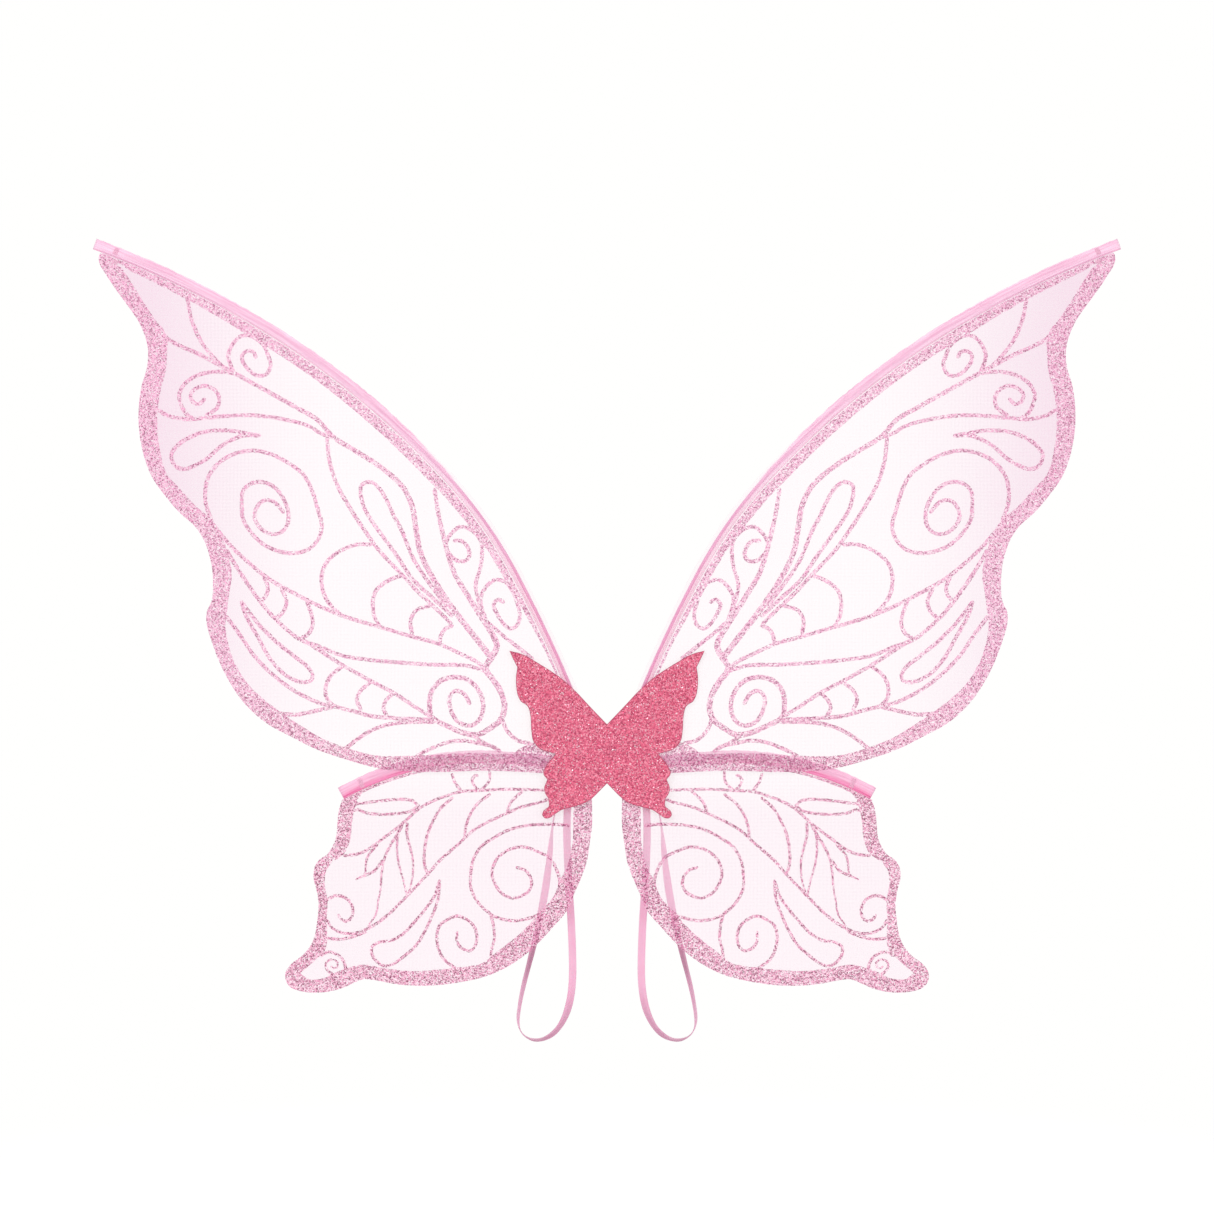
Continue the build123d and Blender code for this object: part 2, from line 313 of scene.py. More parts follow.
def woven_elastic():
    """Satin-faced elastic: soft and smooth, with fine ribs along it that only just show. Its
    back is darker and duller, and shows where the loop turns over; the same darker colour is
    also painted shade along the lower turn of the loop."""
    material, tree = new_material("pink_satin_elastic")
    across = add_node(tree, "ShaderNodeAttribute", attribute_name="across")
    along = add_node(tree, "ShaderNodeAttribute", attribute_name="along")
    rib_pitch = 0.6
    rib = add_node(tree, "ShaderNodeMath", {
        0: across.outputs["Fac"], 1: 2 * math.pi / rib_pitch,
    }, operation="MULTIPLY")
    rib_wave = add_node(tree, "ShaderNodeMath", {0: rib.outputs[0]}, operation="COSINE")
    length = add_node(tree, "ShaderNodeCombineXYZ", {0: along.outputs["Fac"]})
    cloud = add_node(tree, "ShaderNodeTexNoise", {
        "Vector": length.outputs[0], "Scale": 0.06, "Detail": 3.0,
    })
    colour = add_node(tree, "ShaderNodeMix", {
        0: cloud.outputs[0], 6: srgb("#EFADCB"), 7: srgb("#F8C6DD"),
    }, data_type="RGBA")
    # The darker colour stands for the satin's back and also for painted shade on the lower turn.
    dull = add_node(tree, "ShaderNodeAttribute", attribute_name="dull")
    turned = add_node(tree, "ShaderNodeMix", {
        0: dull.outputs["Fac"], 6: colour.outputs[2], 7: srgb("#B87F9A"),
    }, data_type="RGBA")
    bump = add_node(tree, "ShaderNodeBump", {
        "Height": rib_wave.outputs[0], "Strength": 0.2, "Distance": 0.0001,
    })
    skin = add_node(tree, "ShaderNodeBsdfPrincipled", {
        "Base Color": turned.outputs[2], "Roughness": 0.45, "Sheen Weight": 0.2, "Sheen Roughness": 0.4,
        "Subsurface Weight": 0.25, "Subsurface Radius": (0.002, 0.001, 0.0015), "Normal": bump.outputs[0],
    })
    add_node(tree, "ShaderNodeOutputMaterial", {"Surface": skin.outputs[0]})
    return material


elastic = woven_elastic()


def strap_ring():
    """The strap's cross section: flat, with a low bead along each edge, as (across, thick)."""
    half = STRAP_WIDTH / 2
    flat = STRAP_THICK / 2
    upper = [(half, 0), (half - 0.25, flat * 0.8), (half - 0.8, flat), (half - 1.5, flat * 0.8)]
    front = upper + [(0, flat * 0.85)] + [(-across, thick) for across, thick in upper[::-1]]
    return front + [(across, -thick) for across, thick in front[-2:0:-1]]


def strap_loop(side_name, side):
    """One shoulder loop: its section carried along its route, turning as it goes."""
    line = route_line(strap_route, side)
    lengths = [0.0]
    for a, b in zip(line, line[1:]):
        lengths.append(lengths[-1] + (b - a).length)
    ring = strap_ring()
    points = []
    across_values = []
    along_values = []
    dull_values = []
    for i, centre in enumerate(line):
        ahead = (line[min(i + 1, len(line) - 1)] - line[max(i - 1, 0)]).normalized()
        depth = Vector((0, 1, 0))
        level = ahead.cross(depth).normalized()
        depth = level.cross(ahead).normalized()
        angle = math.radians(between(strap_twist, lengths[i] / lengths[-1])) * side
        wide = level * math.cos(angle) + depth * math.sin(angle)
        thin = ahead.cross(wide).normalized()
        for across, thick in ring:
            points.append(centre + wide * across * MM + thin * thick * MM)
            across_values.append(across)
            along_values.append(lengths[i] / MM)
            # The far edge keeps only part of the darkening: a painted highlight along that edge.
            edge_share = PAINTED_HIGHLIGHT_EDGE_SHARE if across * side > FAR_EDGE else 1.0
            dull_values.append(between(strap_dull, lengths[i] / lengths[-1]) * edge_share)
    faces = tube_faces(len(line), len(ring))
    piece = new_piece(
        f"{side_name}_shoulder_loop", points, faces, [elastic], f"{side_name}_strap", smooth=True
    )
    store_values(piece, across=across_values, along=along_values, dull=dull_values)
    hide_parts(f"{side_name}_strap_loop")


for side_name, side in SIDES:
    strap_loop(side_name, side)


# ---------------------------------------------------------------- rod lines
# The springy rods set the shape of the wings. Each leaves its anchor at a heading and then
# bends steadily towards its wing, in arcs of these radii and turns.
UPPER_ROD = ((9.3, 1.7), 109.7, [(1045.0, 8.8), (364.0, 15.2), (1230.0, 1.1), (658.0, 13.5), (789.0, 11.4)])
LOWER_ROD = ((18.0, -10.2), 172.5, [(1157.0, 3.3), (227.5, 33.7)])


def rod_length(rod):
    """The length of a rod along its arcs, in mm."""
    return sum(radius * math.radians(turn) for radius, turn in rod[2])


def rod_spot(rod, distance, inward=0.0):
    """A point beside the rod line at a distance from its root, and the rod's heading there."""
    (out, up), heading, bends = rod
    x, z = -out, up
    for radius, turn in bends:
        span = radius * math.radians(turn)
        part = min(distance, span)
        here = math.radians(heading + turn * part / span)
        start = math.radians(heading)
        spot_x = x + radius * (math.sin(here) - math.sin(start))
        spot_z = z - radius * (math.cos(here) - math.cos(start))
        if distance <= span or (radius, turn) == bends[-1]:
            spot_x += -math.sin(here) * inward
            spot_z += math.cos(here) * inward
            return (-spot_x, spot_z), here
        x, z = spot_x, spot_z
        heading += turn
        distance -= span


def rod_line(rod, begin, finish, inward=0.0, step=4.0):
    """Evenly spaced points along a stretch of the rod line, moved towards the wing."""
    count = max(2, round((finish - begin) / step))
    return [rod_spot(rod, begin + (finish - begin) * i / count, inward)[0] for i in range(count + 1)]


def glass_fibre():
    """Pultruded glass fibre in tinted resin: smooth and glossy, with faint streaks along it."""
    material, tree = new_material("pink_glass_fibre_rod")
    place = place_socket(tree)
    streak = add_node(tree, "ShaderNodeTexNoise", {"Vector": place, "Scale": 900.0, "Detail": 2.0})
    colour = add_node(tree, "ShaderNodeMix", {
        0: streak.outputs[0], 6: srgb("#D997BE"), 7: srgb("#EAB2D1"),
    }, data_type="RGBA")
    skin = add_node(tree, "ShaderNodeBsdfPrincipled", {
        "Base Color": colour.outputs[2], "Roughness": 0.28, "IOR": 1.52,
    })
    add_node(tree, "ShaderNodeOutputMaterial", {"Surface": skin.outputs[0]})
    return material


def soft_vinyl():
    """Dip-moulded vinyl: milky, rubbery and slightly glossy."""
    material, tree = new_material("milky_vinyl_cap")
    place = place_socket(tree)
    cloud = add_node(tree, "ShaderNodeTexNoise", {"Vector": place, "Scale": 300.0, "Detail": 2.0})
    bump = add_node(tree, "ShaderNodeBump", {
        "Height": cloud.outputs[0], "Strength": 0.1, "Distance": 0.0003,
    })
    skin = add_node(tree, "ShaderNodeBsdfPrincipled", {
        "Base Color": srgb("#F3D3E2"), "Roughness": 0.4, "Subsurface Weight": 0.2,
        "Subsurface Radius": (0.002, 0.001, 0.001), "Normal": bump.outputs[0],
    })
    add_node(tree, "ShaderNodeOutputMaterial", {"Surface": skin.outputs[0]})
    return material


def moulded_plastic():
    """Injection-moulded polypropylene: pale, with a fine spark-eroded grain."""
    material, tree = new_material("moulded_polypropylene_anchor")
    place = place_socket(tree)
    grain = add_node(tree, "ShaderNodeTexNoise", {"Vector": place, "Scale": 1800.0, "Detail": 2.0})
    bump = add_node(tree, "ShaderNodeBump", {
        "Height": grain.outputs[0], "Strength": 0.2, "Distance": 0.0001,
    })
    skin = add_node(tree, "ShaderNodeBsdfPrincipled", {
        "Base Color": srgb("#EFDCE6"), "Roughness": 0.5, "Normal": bump.outputs[0],
    })
    add_node(tree, "ShaderNodeOutputMaterial", {"Surface": skin.outputs[0]})
    return material


def finish_cad(node_name, material):
    """Gives a CAD piece that stays in view its material."""
    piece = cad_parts[node_name]
    piece.data.materials.clear()
    piece.data.materials.append(material)


rod_glass = glass_fibre()
cap_vinyl = soft_vinyl()
anchor_plastic = moulded_plastic()
for side_name, side in SIDES:
    finish_cad(f"{side_name}_rod_anchor", anchor_plastic)
    for level in ("upper", "lower"):
        finish_cad(f"{side_name}_{level}_rod", rod_glass)
        finish_cad(f"{side_name}_{level}_rod_cap", cap_vinyl)


# ---------------------------------------------------------------- wing panels
# Each panel is one layer of crisp pink organza, hot-cut to its outline, so that its edge is
# sealed and needs no hem. It is held flat along its rod and waves gently towards its free edge.
UPPER_OUTLINE = [
    (406, 399.6), (406.7, 395), (405, 389.4), (401, 383.2), (395.5, 374.6), (389.4, 366.1), (383.9, 358.7),
    (377.8, 350.2), (372.9, 341.6), (369.2, 332.4), (367.7, 326.4), (367, 320), (368, 308),
    (372, 294), (374, 278), (374, 262), (371, 242), (364, 222), (353, 206), (342, 193), (329, 181),
    (322, 170), (317, 155), (315, 140), (316, 122), (320, 113), (320, 103), (316, 89), (310, 73),
    (300, 54), (288, 38), (272, 24), (252, 13), (232, 3), (212, -4), (183, -12), (144, -15),
    (93, -14), (50, -16),
]
LOWER_OUTLINE = [
    [(212, -37), (215, -47), (216, -58), (217, -68), (220, -75), (224, -81), (230, -85)],
    [(234, -91), (235, -99), (232, -112), (231, -122), (232, -134), (234, -146), (238, -155), (244, -162)],
    [(252, -168), (257, -175), (257, -181), (253, -187), (240, -191), (225, -191), (212, -188),
     (203, -184)],
    [(195, -181), (184, -182), (168, -185), (147, -186), (131, -185), (112, -182), (96, -178), (80, -171)],
    [(65, -161), (54, -151), (43, -139), (32, -126), (26, -112), (20, -98), (16, -86), (14, -73)],
    [(12, -58), (12, -37), (12, -24)],
]
upper_front = -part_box("left_upper_wing_panel")[0].y / MM - 0.3
lower_front = -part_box("left_lower_wing_panel")[0].y / MM - 0.2
UPPER_LAP = 3.0              # rod line to the edge of the upper panel, over its sleeve
LOWER_SEAM = 5.2             # rod line to the seam under the lower sleeve
UPPER_START = 36.0           # along the rod, where the upper panel starts under the butterfly
LOWER_START = 22.0
UPPER_TIP = 8.0              # how far short of its rod's end each panel stops
LOWER_TIP = 1.0
CLOTH_THICK = 0.12
CLOTH_GRID = 7.0             # between the points inside a panel's outline
UPPER_FLAT = (0.385, 0.416)  # the cloth that each panel is cut from, in metres
LOWER_FLAT = (0.246, 0.184)


def smooth_run(points, step=2.5):
    """Points along a smooth curve through the given ones, about a step apart."""
    first = tuple(2 * a - b for a, b in zip(points[0], points[1]))
    last = tuple(2 * a - b for a, b in zip(points[-1], points[-2]))
    guide = [Vector(p) for p in (first, *points, last)]
    run = []
    for p0, p1, p2, p3 in zip(guide, guide[1:], guide[2:], guide[3:]):
        t1 = (p1 - p0).length ** 0.5
        t2 = t1 + (p2 - p1).length ** 0.5
        t3 = t2 + (p3 - p2).length ** 0.5
        count = max(1, round((p2 - p1).length / step))
        for i in range(count):
            t = t1 + (t2 - t1) * i / count
            a1 = p0 * ((t1 - t) / t1) + p1 * (t / t1)
            a2 = p1 * ((t2 - t) / (t2 - t1)) + p2 * ((t - t1) / (t2 - t1))
            a3 = p2 * ((t3 - t) / (t3 - t2)) + p3 * ((t - t2) / (t3 - t2))
            b1 = a1 * ((t2 - t) / t2) + a2 * (t / t2)
            b2 = a2 * ((t3 - t) / (t3 - t1)) + a3 * ((t - t1) / (t3 - t1))
            run.append(tuple(b1 * ((t2 - t) / (t2 - t1)) + b2 * ((t - t1) / (t2 - t1))))
    run.append(tuple(guide[-2]))
    return run


def smooth_edge(runs, step=2.5):
    """One edge from several runs that share corners where one ends and the next starts."""
    edge = []
    for run in runs:
        edge += smooth_run(run, step)[:-1]
    return edge + [runs[-1][-1]]


upper_end = rod_length(UPPER_ROD)
lower_end = rod_length(LOWER_ROD)
upper_free_edge = smooth_run(UPPER_OUTLINE)
lower_free_edge = smooth_run([point for run in LOWER_OUTLINE for point in run])
upper_rod_edge = rod_line(UPPER_ROD, UPPER_START, upper_end - UPPER_TIP, UPPER_LAP)
upper_cut = upper_rod_edge + upper_free_edge + [(40, -15), (40, 16)]
lower_rod_edge = rod_line(LOWER_ROD, LOWER_START, lower_end - LOWER_TIP, LOWER_SEAM)
lower_cut = lower_rod_edge + lower_free_edge + [(38, -18)]


def cut_out(shapes, spacing):
    """Flat triangles that cover some overlapping shapes, with a grid of points inside them."""
    flat = []
    faces = []
    for shape in shapes:
        corners = [Vector(p) for p in shape]
        turn = sum(a.x * b.y - a.y * b.x for a, b in zip(corners, corners[1:] + corners[:1]))
        faces.append(list(range(len(flat), len(flat) + len(shape))))
        flat += corners if turn > 0 else corners[::-1]
    outs = [p.x for p in flat]
    ups = [p.y for p in flat]
    across = int((max(outs) - min(outs)) / spacing) + 1
    upward = int((max(ups) - min(ups)) / spacing) + 1
    for i in range(across):
        for j in range(upward):
            shift = 0.5 * (j % 2)
            flat.append(Vector((min(outs) + (i + shift) * spacing, min(ups) + (j + 0.37) * spacing)))
    points, _, triangles, _, _, owners = delaunay_2d_cdt(flat, [], faces, 0, 0.01, True)
    kept = [tri for tri, owner in zip(triangles, owners) if owner]
    used = sorted({i for tri in kept for i in tri})
    renumber = {old: new for new, old in enumerate(used)}
    return [tuple(points[i]) for i in used], [tuple(renumber[i] for i in tri) for tri in kept]


def ease(value):
    """A value from 0 to 1 with a soft start and end."""
    value = min(1.0, max(0.0, value))
    return value * value * (3 - 2 * value)


upper_held = rod_line(UPPER_ROD, 0, upper_end, 0, 8.0)
lower_held = rod_line(LOWER_ROD, 0, lower_end, 0, 8.0)


def off_rods(out, up):
    """Distance from the nearest rod, in mm."""
    return min(math.hypot(out - a, up - b) for a, b in upper_held + lower_held)


def upper_lift(out, up):
    """How far the upper panel stands forward of its rods, in mm."""
    free = ease((off_rods(out, up) - 8) / 150)
    wave = 3.2 + 1.9 * math.sin(out / 34 + up / 61) + 0.8 * math.sin(up / 19 - out / 47 + 1.3)
    return free * wave


def lower_lift(out, up):
    """How far the lower panel stands forward of its rod, in mm."""
    free = ease((off_rods(out, up) - 8) / 90)
    wave = 2.6 + 1.6 * math.sin(out / 27 - up / 49) + 0.6 * math.sin(up / 15 + out / 31)
    return free * wave


def slab(name, flat, triangles, front, thick, side, materials, body):
    """A thin closed piece from flat triangles: front gives its front face's depth in mm."""
    count = len(flat)
    depths = [front(out, up) for out, up in flat]
    points = [(side * out * MM, -d * MM, up * MM) for (out, up), d in zip(flat, depths)]
    points += [(side * out * MM, (thick - d) * MM, up * MM) for (out, up), d in zip(flat, depths)]
    faces = list(triangles) + [tuple(count + i for i in tri[::-1]) for tri in triangles]
    edges = {(tri[i], tri[(i + 1) % len(tri)]) for tri in triangles for i in range(len(tri))}
    faces += [(a, count + a, count + b, b) for a, b in edges if (b, a) not in edges]
    return new_piece(name, points, faces, materials, body)


def flat_area(flat, triangles):
    """The area of flat triangles, in square metres."""
    total = 0.0
    for a, b, c in triangles:
        (x0, y0), (x1, y1), (x2, y2) = flat[a], flat[b], flat[c]
        total += abs((x1 - x0) * (y2 - y0) - (x2 - x0) * (y1 - y0)) / 2
    return total * MM * MM


def shade_across_waves(piece):
    """Smooth shading on the two faces of a thin piece, with its cut edge left sharp."""
    piece.data.polygons.foreach_set("use_smooth", [True] * len(piece.data.polygons))
    piece.data.set_sharp_from_angle(angle=math.radians(40))


BAND_UNIT = 2 * math.pi / 20    # a wave texture's bands are this far apart at a scale of 1


def organza():
    """Crisp nylon organza, 30 g a square metre: see-through, with a cool pearly sheen.

    Its threads are 0.2 mm apart, too fine to show, so the weave is drawn 1.1 mm apart. It is
    dyed a little pinker towards the upper tips and on the lower wings."""
    material, tree = new_material("pale_pink_nylon_organza")
    place = place_socket(tree)
    weave_pitch = 1.1 * MM
    warp = add_node(tree, "ShaderNodeTexWave", {
        "Vector": place, "Scale": BAND_UNIT / weave_pitch, "Distortion": 0.4, "Detail": 1.0,
    }, bands_direction="X")
    weft = add_node(tree, "ShaderNodeTexWave", {
        "Vector": place, "Scale": BAND_UNIT / weave_pitch, "Distortion": 0.4, "Detail": 1.0,
    }, bands_direction="Z")
    thread = add_node(tree, "ShaderNodeMath", {
        0: warp.outputs["Fac"], 1: weft.outputs["Fac"],
    }, operation="ADD")
    cloud = add_node(tree, "ShaderNodeTexNoise", {"Vector": place, "Scale": 9.0, "Detail": 2.0})
    apart = add_node(tree, "ShaderNodeSeparateXYZ", {0: place})
    outward = add_node(tree, "ShaderNodeMath", {0: apart.outputs[0]}, operation="ABSOLUTE")
    tip = add_node(tree, "ShaderNodeMapRange", {
        "Value": outward.outputs[0], 1: 0.20, 2: 0.40, 3: 0.0, 4: 1.0,
    }, interpolation_type="SMOOTHSTEP")
    low = add_node(tree, "ShaderNodeMapRange", {
        "Value": apart.outputs[2], 1: -0.01, 2: -0.05, 3: 0.0, 4: 0.34,
    })
    farther = add_node(tree, "ShaderNodeMath", {
        0: tip.outputs[0], 1: low.outputs[0],
    }, operation="MAXIMUM")
    tint = add_node(tree, "ShaderNodeMath", {
        0: cloud.outputs[0], 1: 0.15, 2: farther.outputs[0],
    }, operation="MULTIPLY_ADD")
    colour = add_node(tree, "ShaderNodeMix", {
        0: tint.outputs[0], 6: srgb("#FFF1F7"), 7: srgb("#EDBFDA"),
    }, data_type="RGBA")
    cover = add_node(tree, "ShaderNodeMapRange", {
        "Value": thread.outputs[0], 1: 0.0, 2: 2.0, 3: 0.09, 4: 0.24,
    })
    thicker = add_node(tree, "ShaderNodeMath", {
        0: tint.outputs[0], 1: 0.12, 2: cover.outputs[0],
    }, operation="MULTIPLY_ADD")
    bump = add_node(tree, "ShaderNodeBump", {
        "Height": thread.outputs[0], "Strength": 0.25, "Distance": 0.0001,
    })
    skin = add_node(tree, "ShaderNodeBsdfPrincipled", {
        "Base Color": colour.outputs[2], "Roughness": 0.42, "Alpha": thicker.outputs[0],
        "Sheen Weight": 0.5, "Sheen Roughness": 0.3, "Normal": bump.outputs[0],
    })
    add_node(tree, "ShaderNodeOutputMaterial", {"Surface": skin.outputs[0]})
    return material


sheer = organza()
panel_cuts = [
    ("upper", *cut_out([upper_cut], CLOTH_GRID), upper_front, upper_lift, UPPER_FLAT),
    ("lower", *cut_out([lower_cut], CLOTH_GRID), lower_front, lower_lift, LOWER_FLAT),
]
for side_name, side in SIDES:
    for level, flat, triangles, front, lift, flat_size in panel_cuts:
        panel = slab(
            f"{side_name}_{level}_organza", flat, triangles, lambda out, up: front + lift(out, up),
            CLOTH_THICK, side, [sheer], f"{side_name}_wings",
        )
        shade_across_waves(panel)
        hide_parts(f"{side_name}_{level}_wing_panel")


# ---------------------------------------------------------------- glitter print
# Glitter in clear ink, screen-printed on the front of the organza: a wide border along every
# cut edge, and scrolls, teardrops and leaf veins in lines 2 to 3 mm wide.
LINE = 3.1                   # lines of the upper wing
WIDE = 4.8                   # where its veins run together near the root
FINE = 2.35                  # lines of the lower wing
POINT = 1.3                  # at the tips of leaves
PRINT_THICK = 0.25
PRINT_LIFT = 0.03            # between the cloth and the print
PRINT_STEP = 2.6             # along the outlines and lines of the print
PRINT_GRID = 5.0             # between the points inside them
LINE_UNEVEN = 0.18           # how far glitter strays over a line's edge, and over a border's
BORDER_UNEVEN = 0.25
UPPER_BORDER_INNER = [
    (388, 388), (379, 374), (369, 358), (358, 342), (352, 332), (352, 321), (353, 306), (357, 290),
    (359, 275), (359, 258), (357, 242), (352, 224), (340, 210), (328, 197), (316, 187), (308, 175),
    (304, 162), (300, 144), (302, 127), (304, 114), (305, 100), (302, 84), (296, 69), (283, 51),
    (265, 36), (246, 23), (226, 11), (204, 3), (183, -2), (155, -2), (110, 0), (70, -1), (44, -2),
]
LOWER_BORDER_INNER = [
    [(202.5, -44), (204.3, -56), (205.2, -67), (208, -76.5), (212, -82), (220.5, -87)],
    [(220.5, -87), (225, -95), (226, -104), (223.9, -118),
     (224.2, -130), (224.2, -143), (224, -151.5), (226.5, -159.5)],
    [(226.5, -159.5), (245.5, -176)],
    [(245.5, -176), (237.5, -181), (227, -180.2), (219, -176.3), (208, -172), (195, -169.2), (179, -172),
     (157, -174.2), (136, -173.2), (121, -171.4), (110, -170.2), (103, -169), (97.5, -166.5),
     (91.7, -161.9), (81, -153.5), (68, -143), (55, -129), (43, -115), (38, -102.5), (32, -91),
     (28, -75), (27, -59), (27, -40), (27, -24)],
]
UPPER_LINES = [              # each line's points and its width at its far end
    # the main vein, from the outer border to the wing's root, and its first branch
    ([(358, 341), (352, 332), (322, 317), (296, 303), (276, 292), (251, 278), (232, 267), (219, 253),
      (203, 243), (184, 231), (170, 220), (162, 211), (156, 198), (149, 160), (138, 138), (122, 114),
      (108, 96), (93, 77)], WIDE),
    ([(336, 365), (332, 346), (325, 330), (316, 318), (308, 310)], LINE),
    # two small scrolls that hang from it
    ([(299, 305), (303, 318), (299, 328), (292, 334), (286, 334), (276, 328), (271, 318), (269, 310),
      (273, 303), (279, 302), (286, 306), (292, 315), (291, 320), (286, 322), (282, 320),
      (281, 317)], LINE),
    ([(296, 303), (305, 305), (316, 305), (328, 302), (338, 295), (342, 286), (340, 278), (336, 271),
      (331, 268)], LINE),
    ([(320, 270), (312, 276), (310, 283), (313, 290), (322, 294), (331, 290), (333, 286), (331, 281),
      (326, 279), (322, 283)], LINE),
    # the second vein
    ([(358, 274), (351, 270), (336, 267), (322, 268), (300, 270), (279, 270), (258, 267), (239, 262),
      (229, 256), (221, 253)], LINE),
    ([(224, 252), (222, 234), (216, 215), (206, 197), (195, 180), (182, 162), (165, 144), (149, 127),
      (136, 115), (125, 104)], LINE),
    # upper teardrop
    ([(278, 254), (289, 256), (302, 258), (313, 258), (325, 256), (336, 251), (344, 245), (348, 238),
      (345, 230), (338, 227), (329, 230), (319, 236), (309, 245), (299, 251), (291, 254),
      (278, 254)], LINE),
    # the large scroll
    ([(316, 186), (320, 197), (321, 210), (318, 222), (309, 233), (296, 240), (282, 242), (268, 239),
      (253, 231), (242, 222), (235, 208), (231, 194), (228, 182), (231, 171), (239, 163), (251, 160),
      (264, 162), (276, 168), (285, 177), (291, 187), (292, 198), (291, 210), (284, 216), (275, 217),
      (265, 212), (258, 202), (255, 193), (256, 182), (262, 176), (271, 176), (279, 182), (282, 190),
      (280, 197), (275, 202), (268, 202), (262, 197), (259, 193)], LINE),
    # the two long veins of the lower half, and the short one under them
    ([(311, 178), (299, 164), (285, 151), (268, 138), (248, 127), (228, 117), (211, 110), (192, 104),
      (178, 100), (158, 94), (136, 88), (118, 80), (104, 73), (97, 67)], LINE),
    ([(304, 162), (293, 144), (282, 128), (271, 114), (259, 102), (245, 91), (231, 86), (211, 78),
      (192, 75), (158, 72), (140, 71), (112, 70), (98, 66)], LINE),
    ([(243, 91), (229, 82), (212, 71), (189, 58), (170, 48), (155, 38), (142, 30)], LINE),
    # small arcs between the two long veins
    ([(274, 140), (271, 133), (272, 127), (276, 122)], LINE),
    ([(260, 131), (256, 122), (258, 114), (264, 108)], LINE),
    ([(240, 122), (236, 111), (235, 102), (239, 95), (243, 93)], LINE),
    # wide arcs between the second vein and the first long vein
    ([(189, 167), (200, 167), (213, 162), (224, 153), (228, 142), (227, 130), (222, 120),
      (213, 111)], LINE),
    ([(165, 142), (175, 138), (184, 131), (187, 122), (186, 110), (182, 102)], LINE),
    ([(142, 118), (153, 114), (157, 106), (156, 96)], LINE),
    ([(124, 102), (130, 99), (133, 94), (134, 88)], LINE),
    # long leaf loop
    ([(124, 110), (138, 123), (156, 140), (168, 158), (184, 180), (193, 194), (197, 208), (196, 215),
      (190, 217), (184, 214), (177, 204), (170, 189), (164, 178), (154, 154), (142, 136),
      (129, 118)], LINE),
    # the inner vein, its branch and its two scrolls
    ([(138, 211), (135, 192), (129, 166), (122, 144), (110, 124), (100, 108), (91, 94), (88, 86),
      (93, 75)], WIDE),
    ([(97, 106), (83, 94), (69, 83), (60, 76)], LINE),
    ([(122, 170), (117, 170), (112, 166), (110, 158), (113, 154), (120, 154), (125, 158), (129, 166),
      (126, 174), (118, 181), (109, 179), (101, 170), (100, 158), (102, 146), (105, 136), (104, 126),
      (100, 114)], LINE),
    ([(96, 104), (101, 120), (100, 128), (94, 136), (88, 139), (80, 136), (74, 126), (69.9, 113),
      (70.2, 106.5), (73, 101.2), (77.5, 99.8), (82, 102.8), (86, 108), (89, 113.5), (91, 119), (87, 123),
      (83, 121)], LINE),
    # the scroll near the root
    ([(110, 40), (114, 47), (121, 50), (126, 45), (125, 35), (120, 26), (110, 22), (102, 27), (99, 38),
      (102, 49), (110, 58), (122, 61), (133, 58), (140, 50), (142, 39), (140, 29), (126, 21), (114, 16),
      (103, 15), (92, 21), (85, 27), (82, 37), (84, 47), (91, 59), (97, 67), (93, 77)], WIDE),
    ([(84, 28), (80, 18), (71, 10), (62, 8)], LINE),
    # the lowest vein and its branch
    ([(304, 109), (293, 94), (282, 78), (266, 62), (248, 49), (229, 40), (220, 38), (204, 34), (190, 30),
      (169, 28), (140, 27)], LINE),
    ([(220, 37), (233, 34), (248, 31), (262, 32)], LINE),
    # lower teardrop
    ([(292, 121), (279, 104), (264, 89), (249, 77), (239, 69), (235, 62), (237, 58), (244, 57), (256, 62),
      (268, 74), (279, 93), (289, 111), (292, 121)], LINE),
    # three arcs under it
    ([(212, 69), (220, 63), (225, 53), (224, 44), (219, 38)], LINE),
    ([(190, 56), (197, 50), (200, 43), (197, 35)], LINE),
    ([(172, 47), (177, 42), (179, 36), (176, 30)], LINE),
    # arches along the bottom border
    ([(209, 4), (200, 11), (189, 18), (175, 23), (157, 25), (139, 25)], LINE),
    ([(152, -2), (140, 4), (126, 9), (112, 10), (108, 9), (93, 6), (86, 2)], LINE),
    ([(107, 14), (101, 10), (94, 6)], LINE),
]
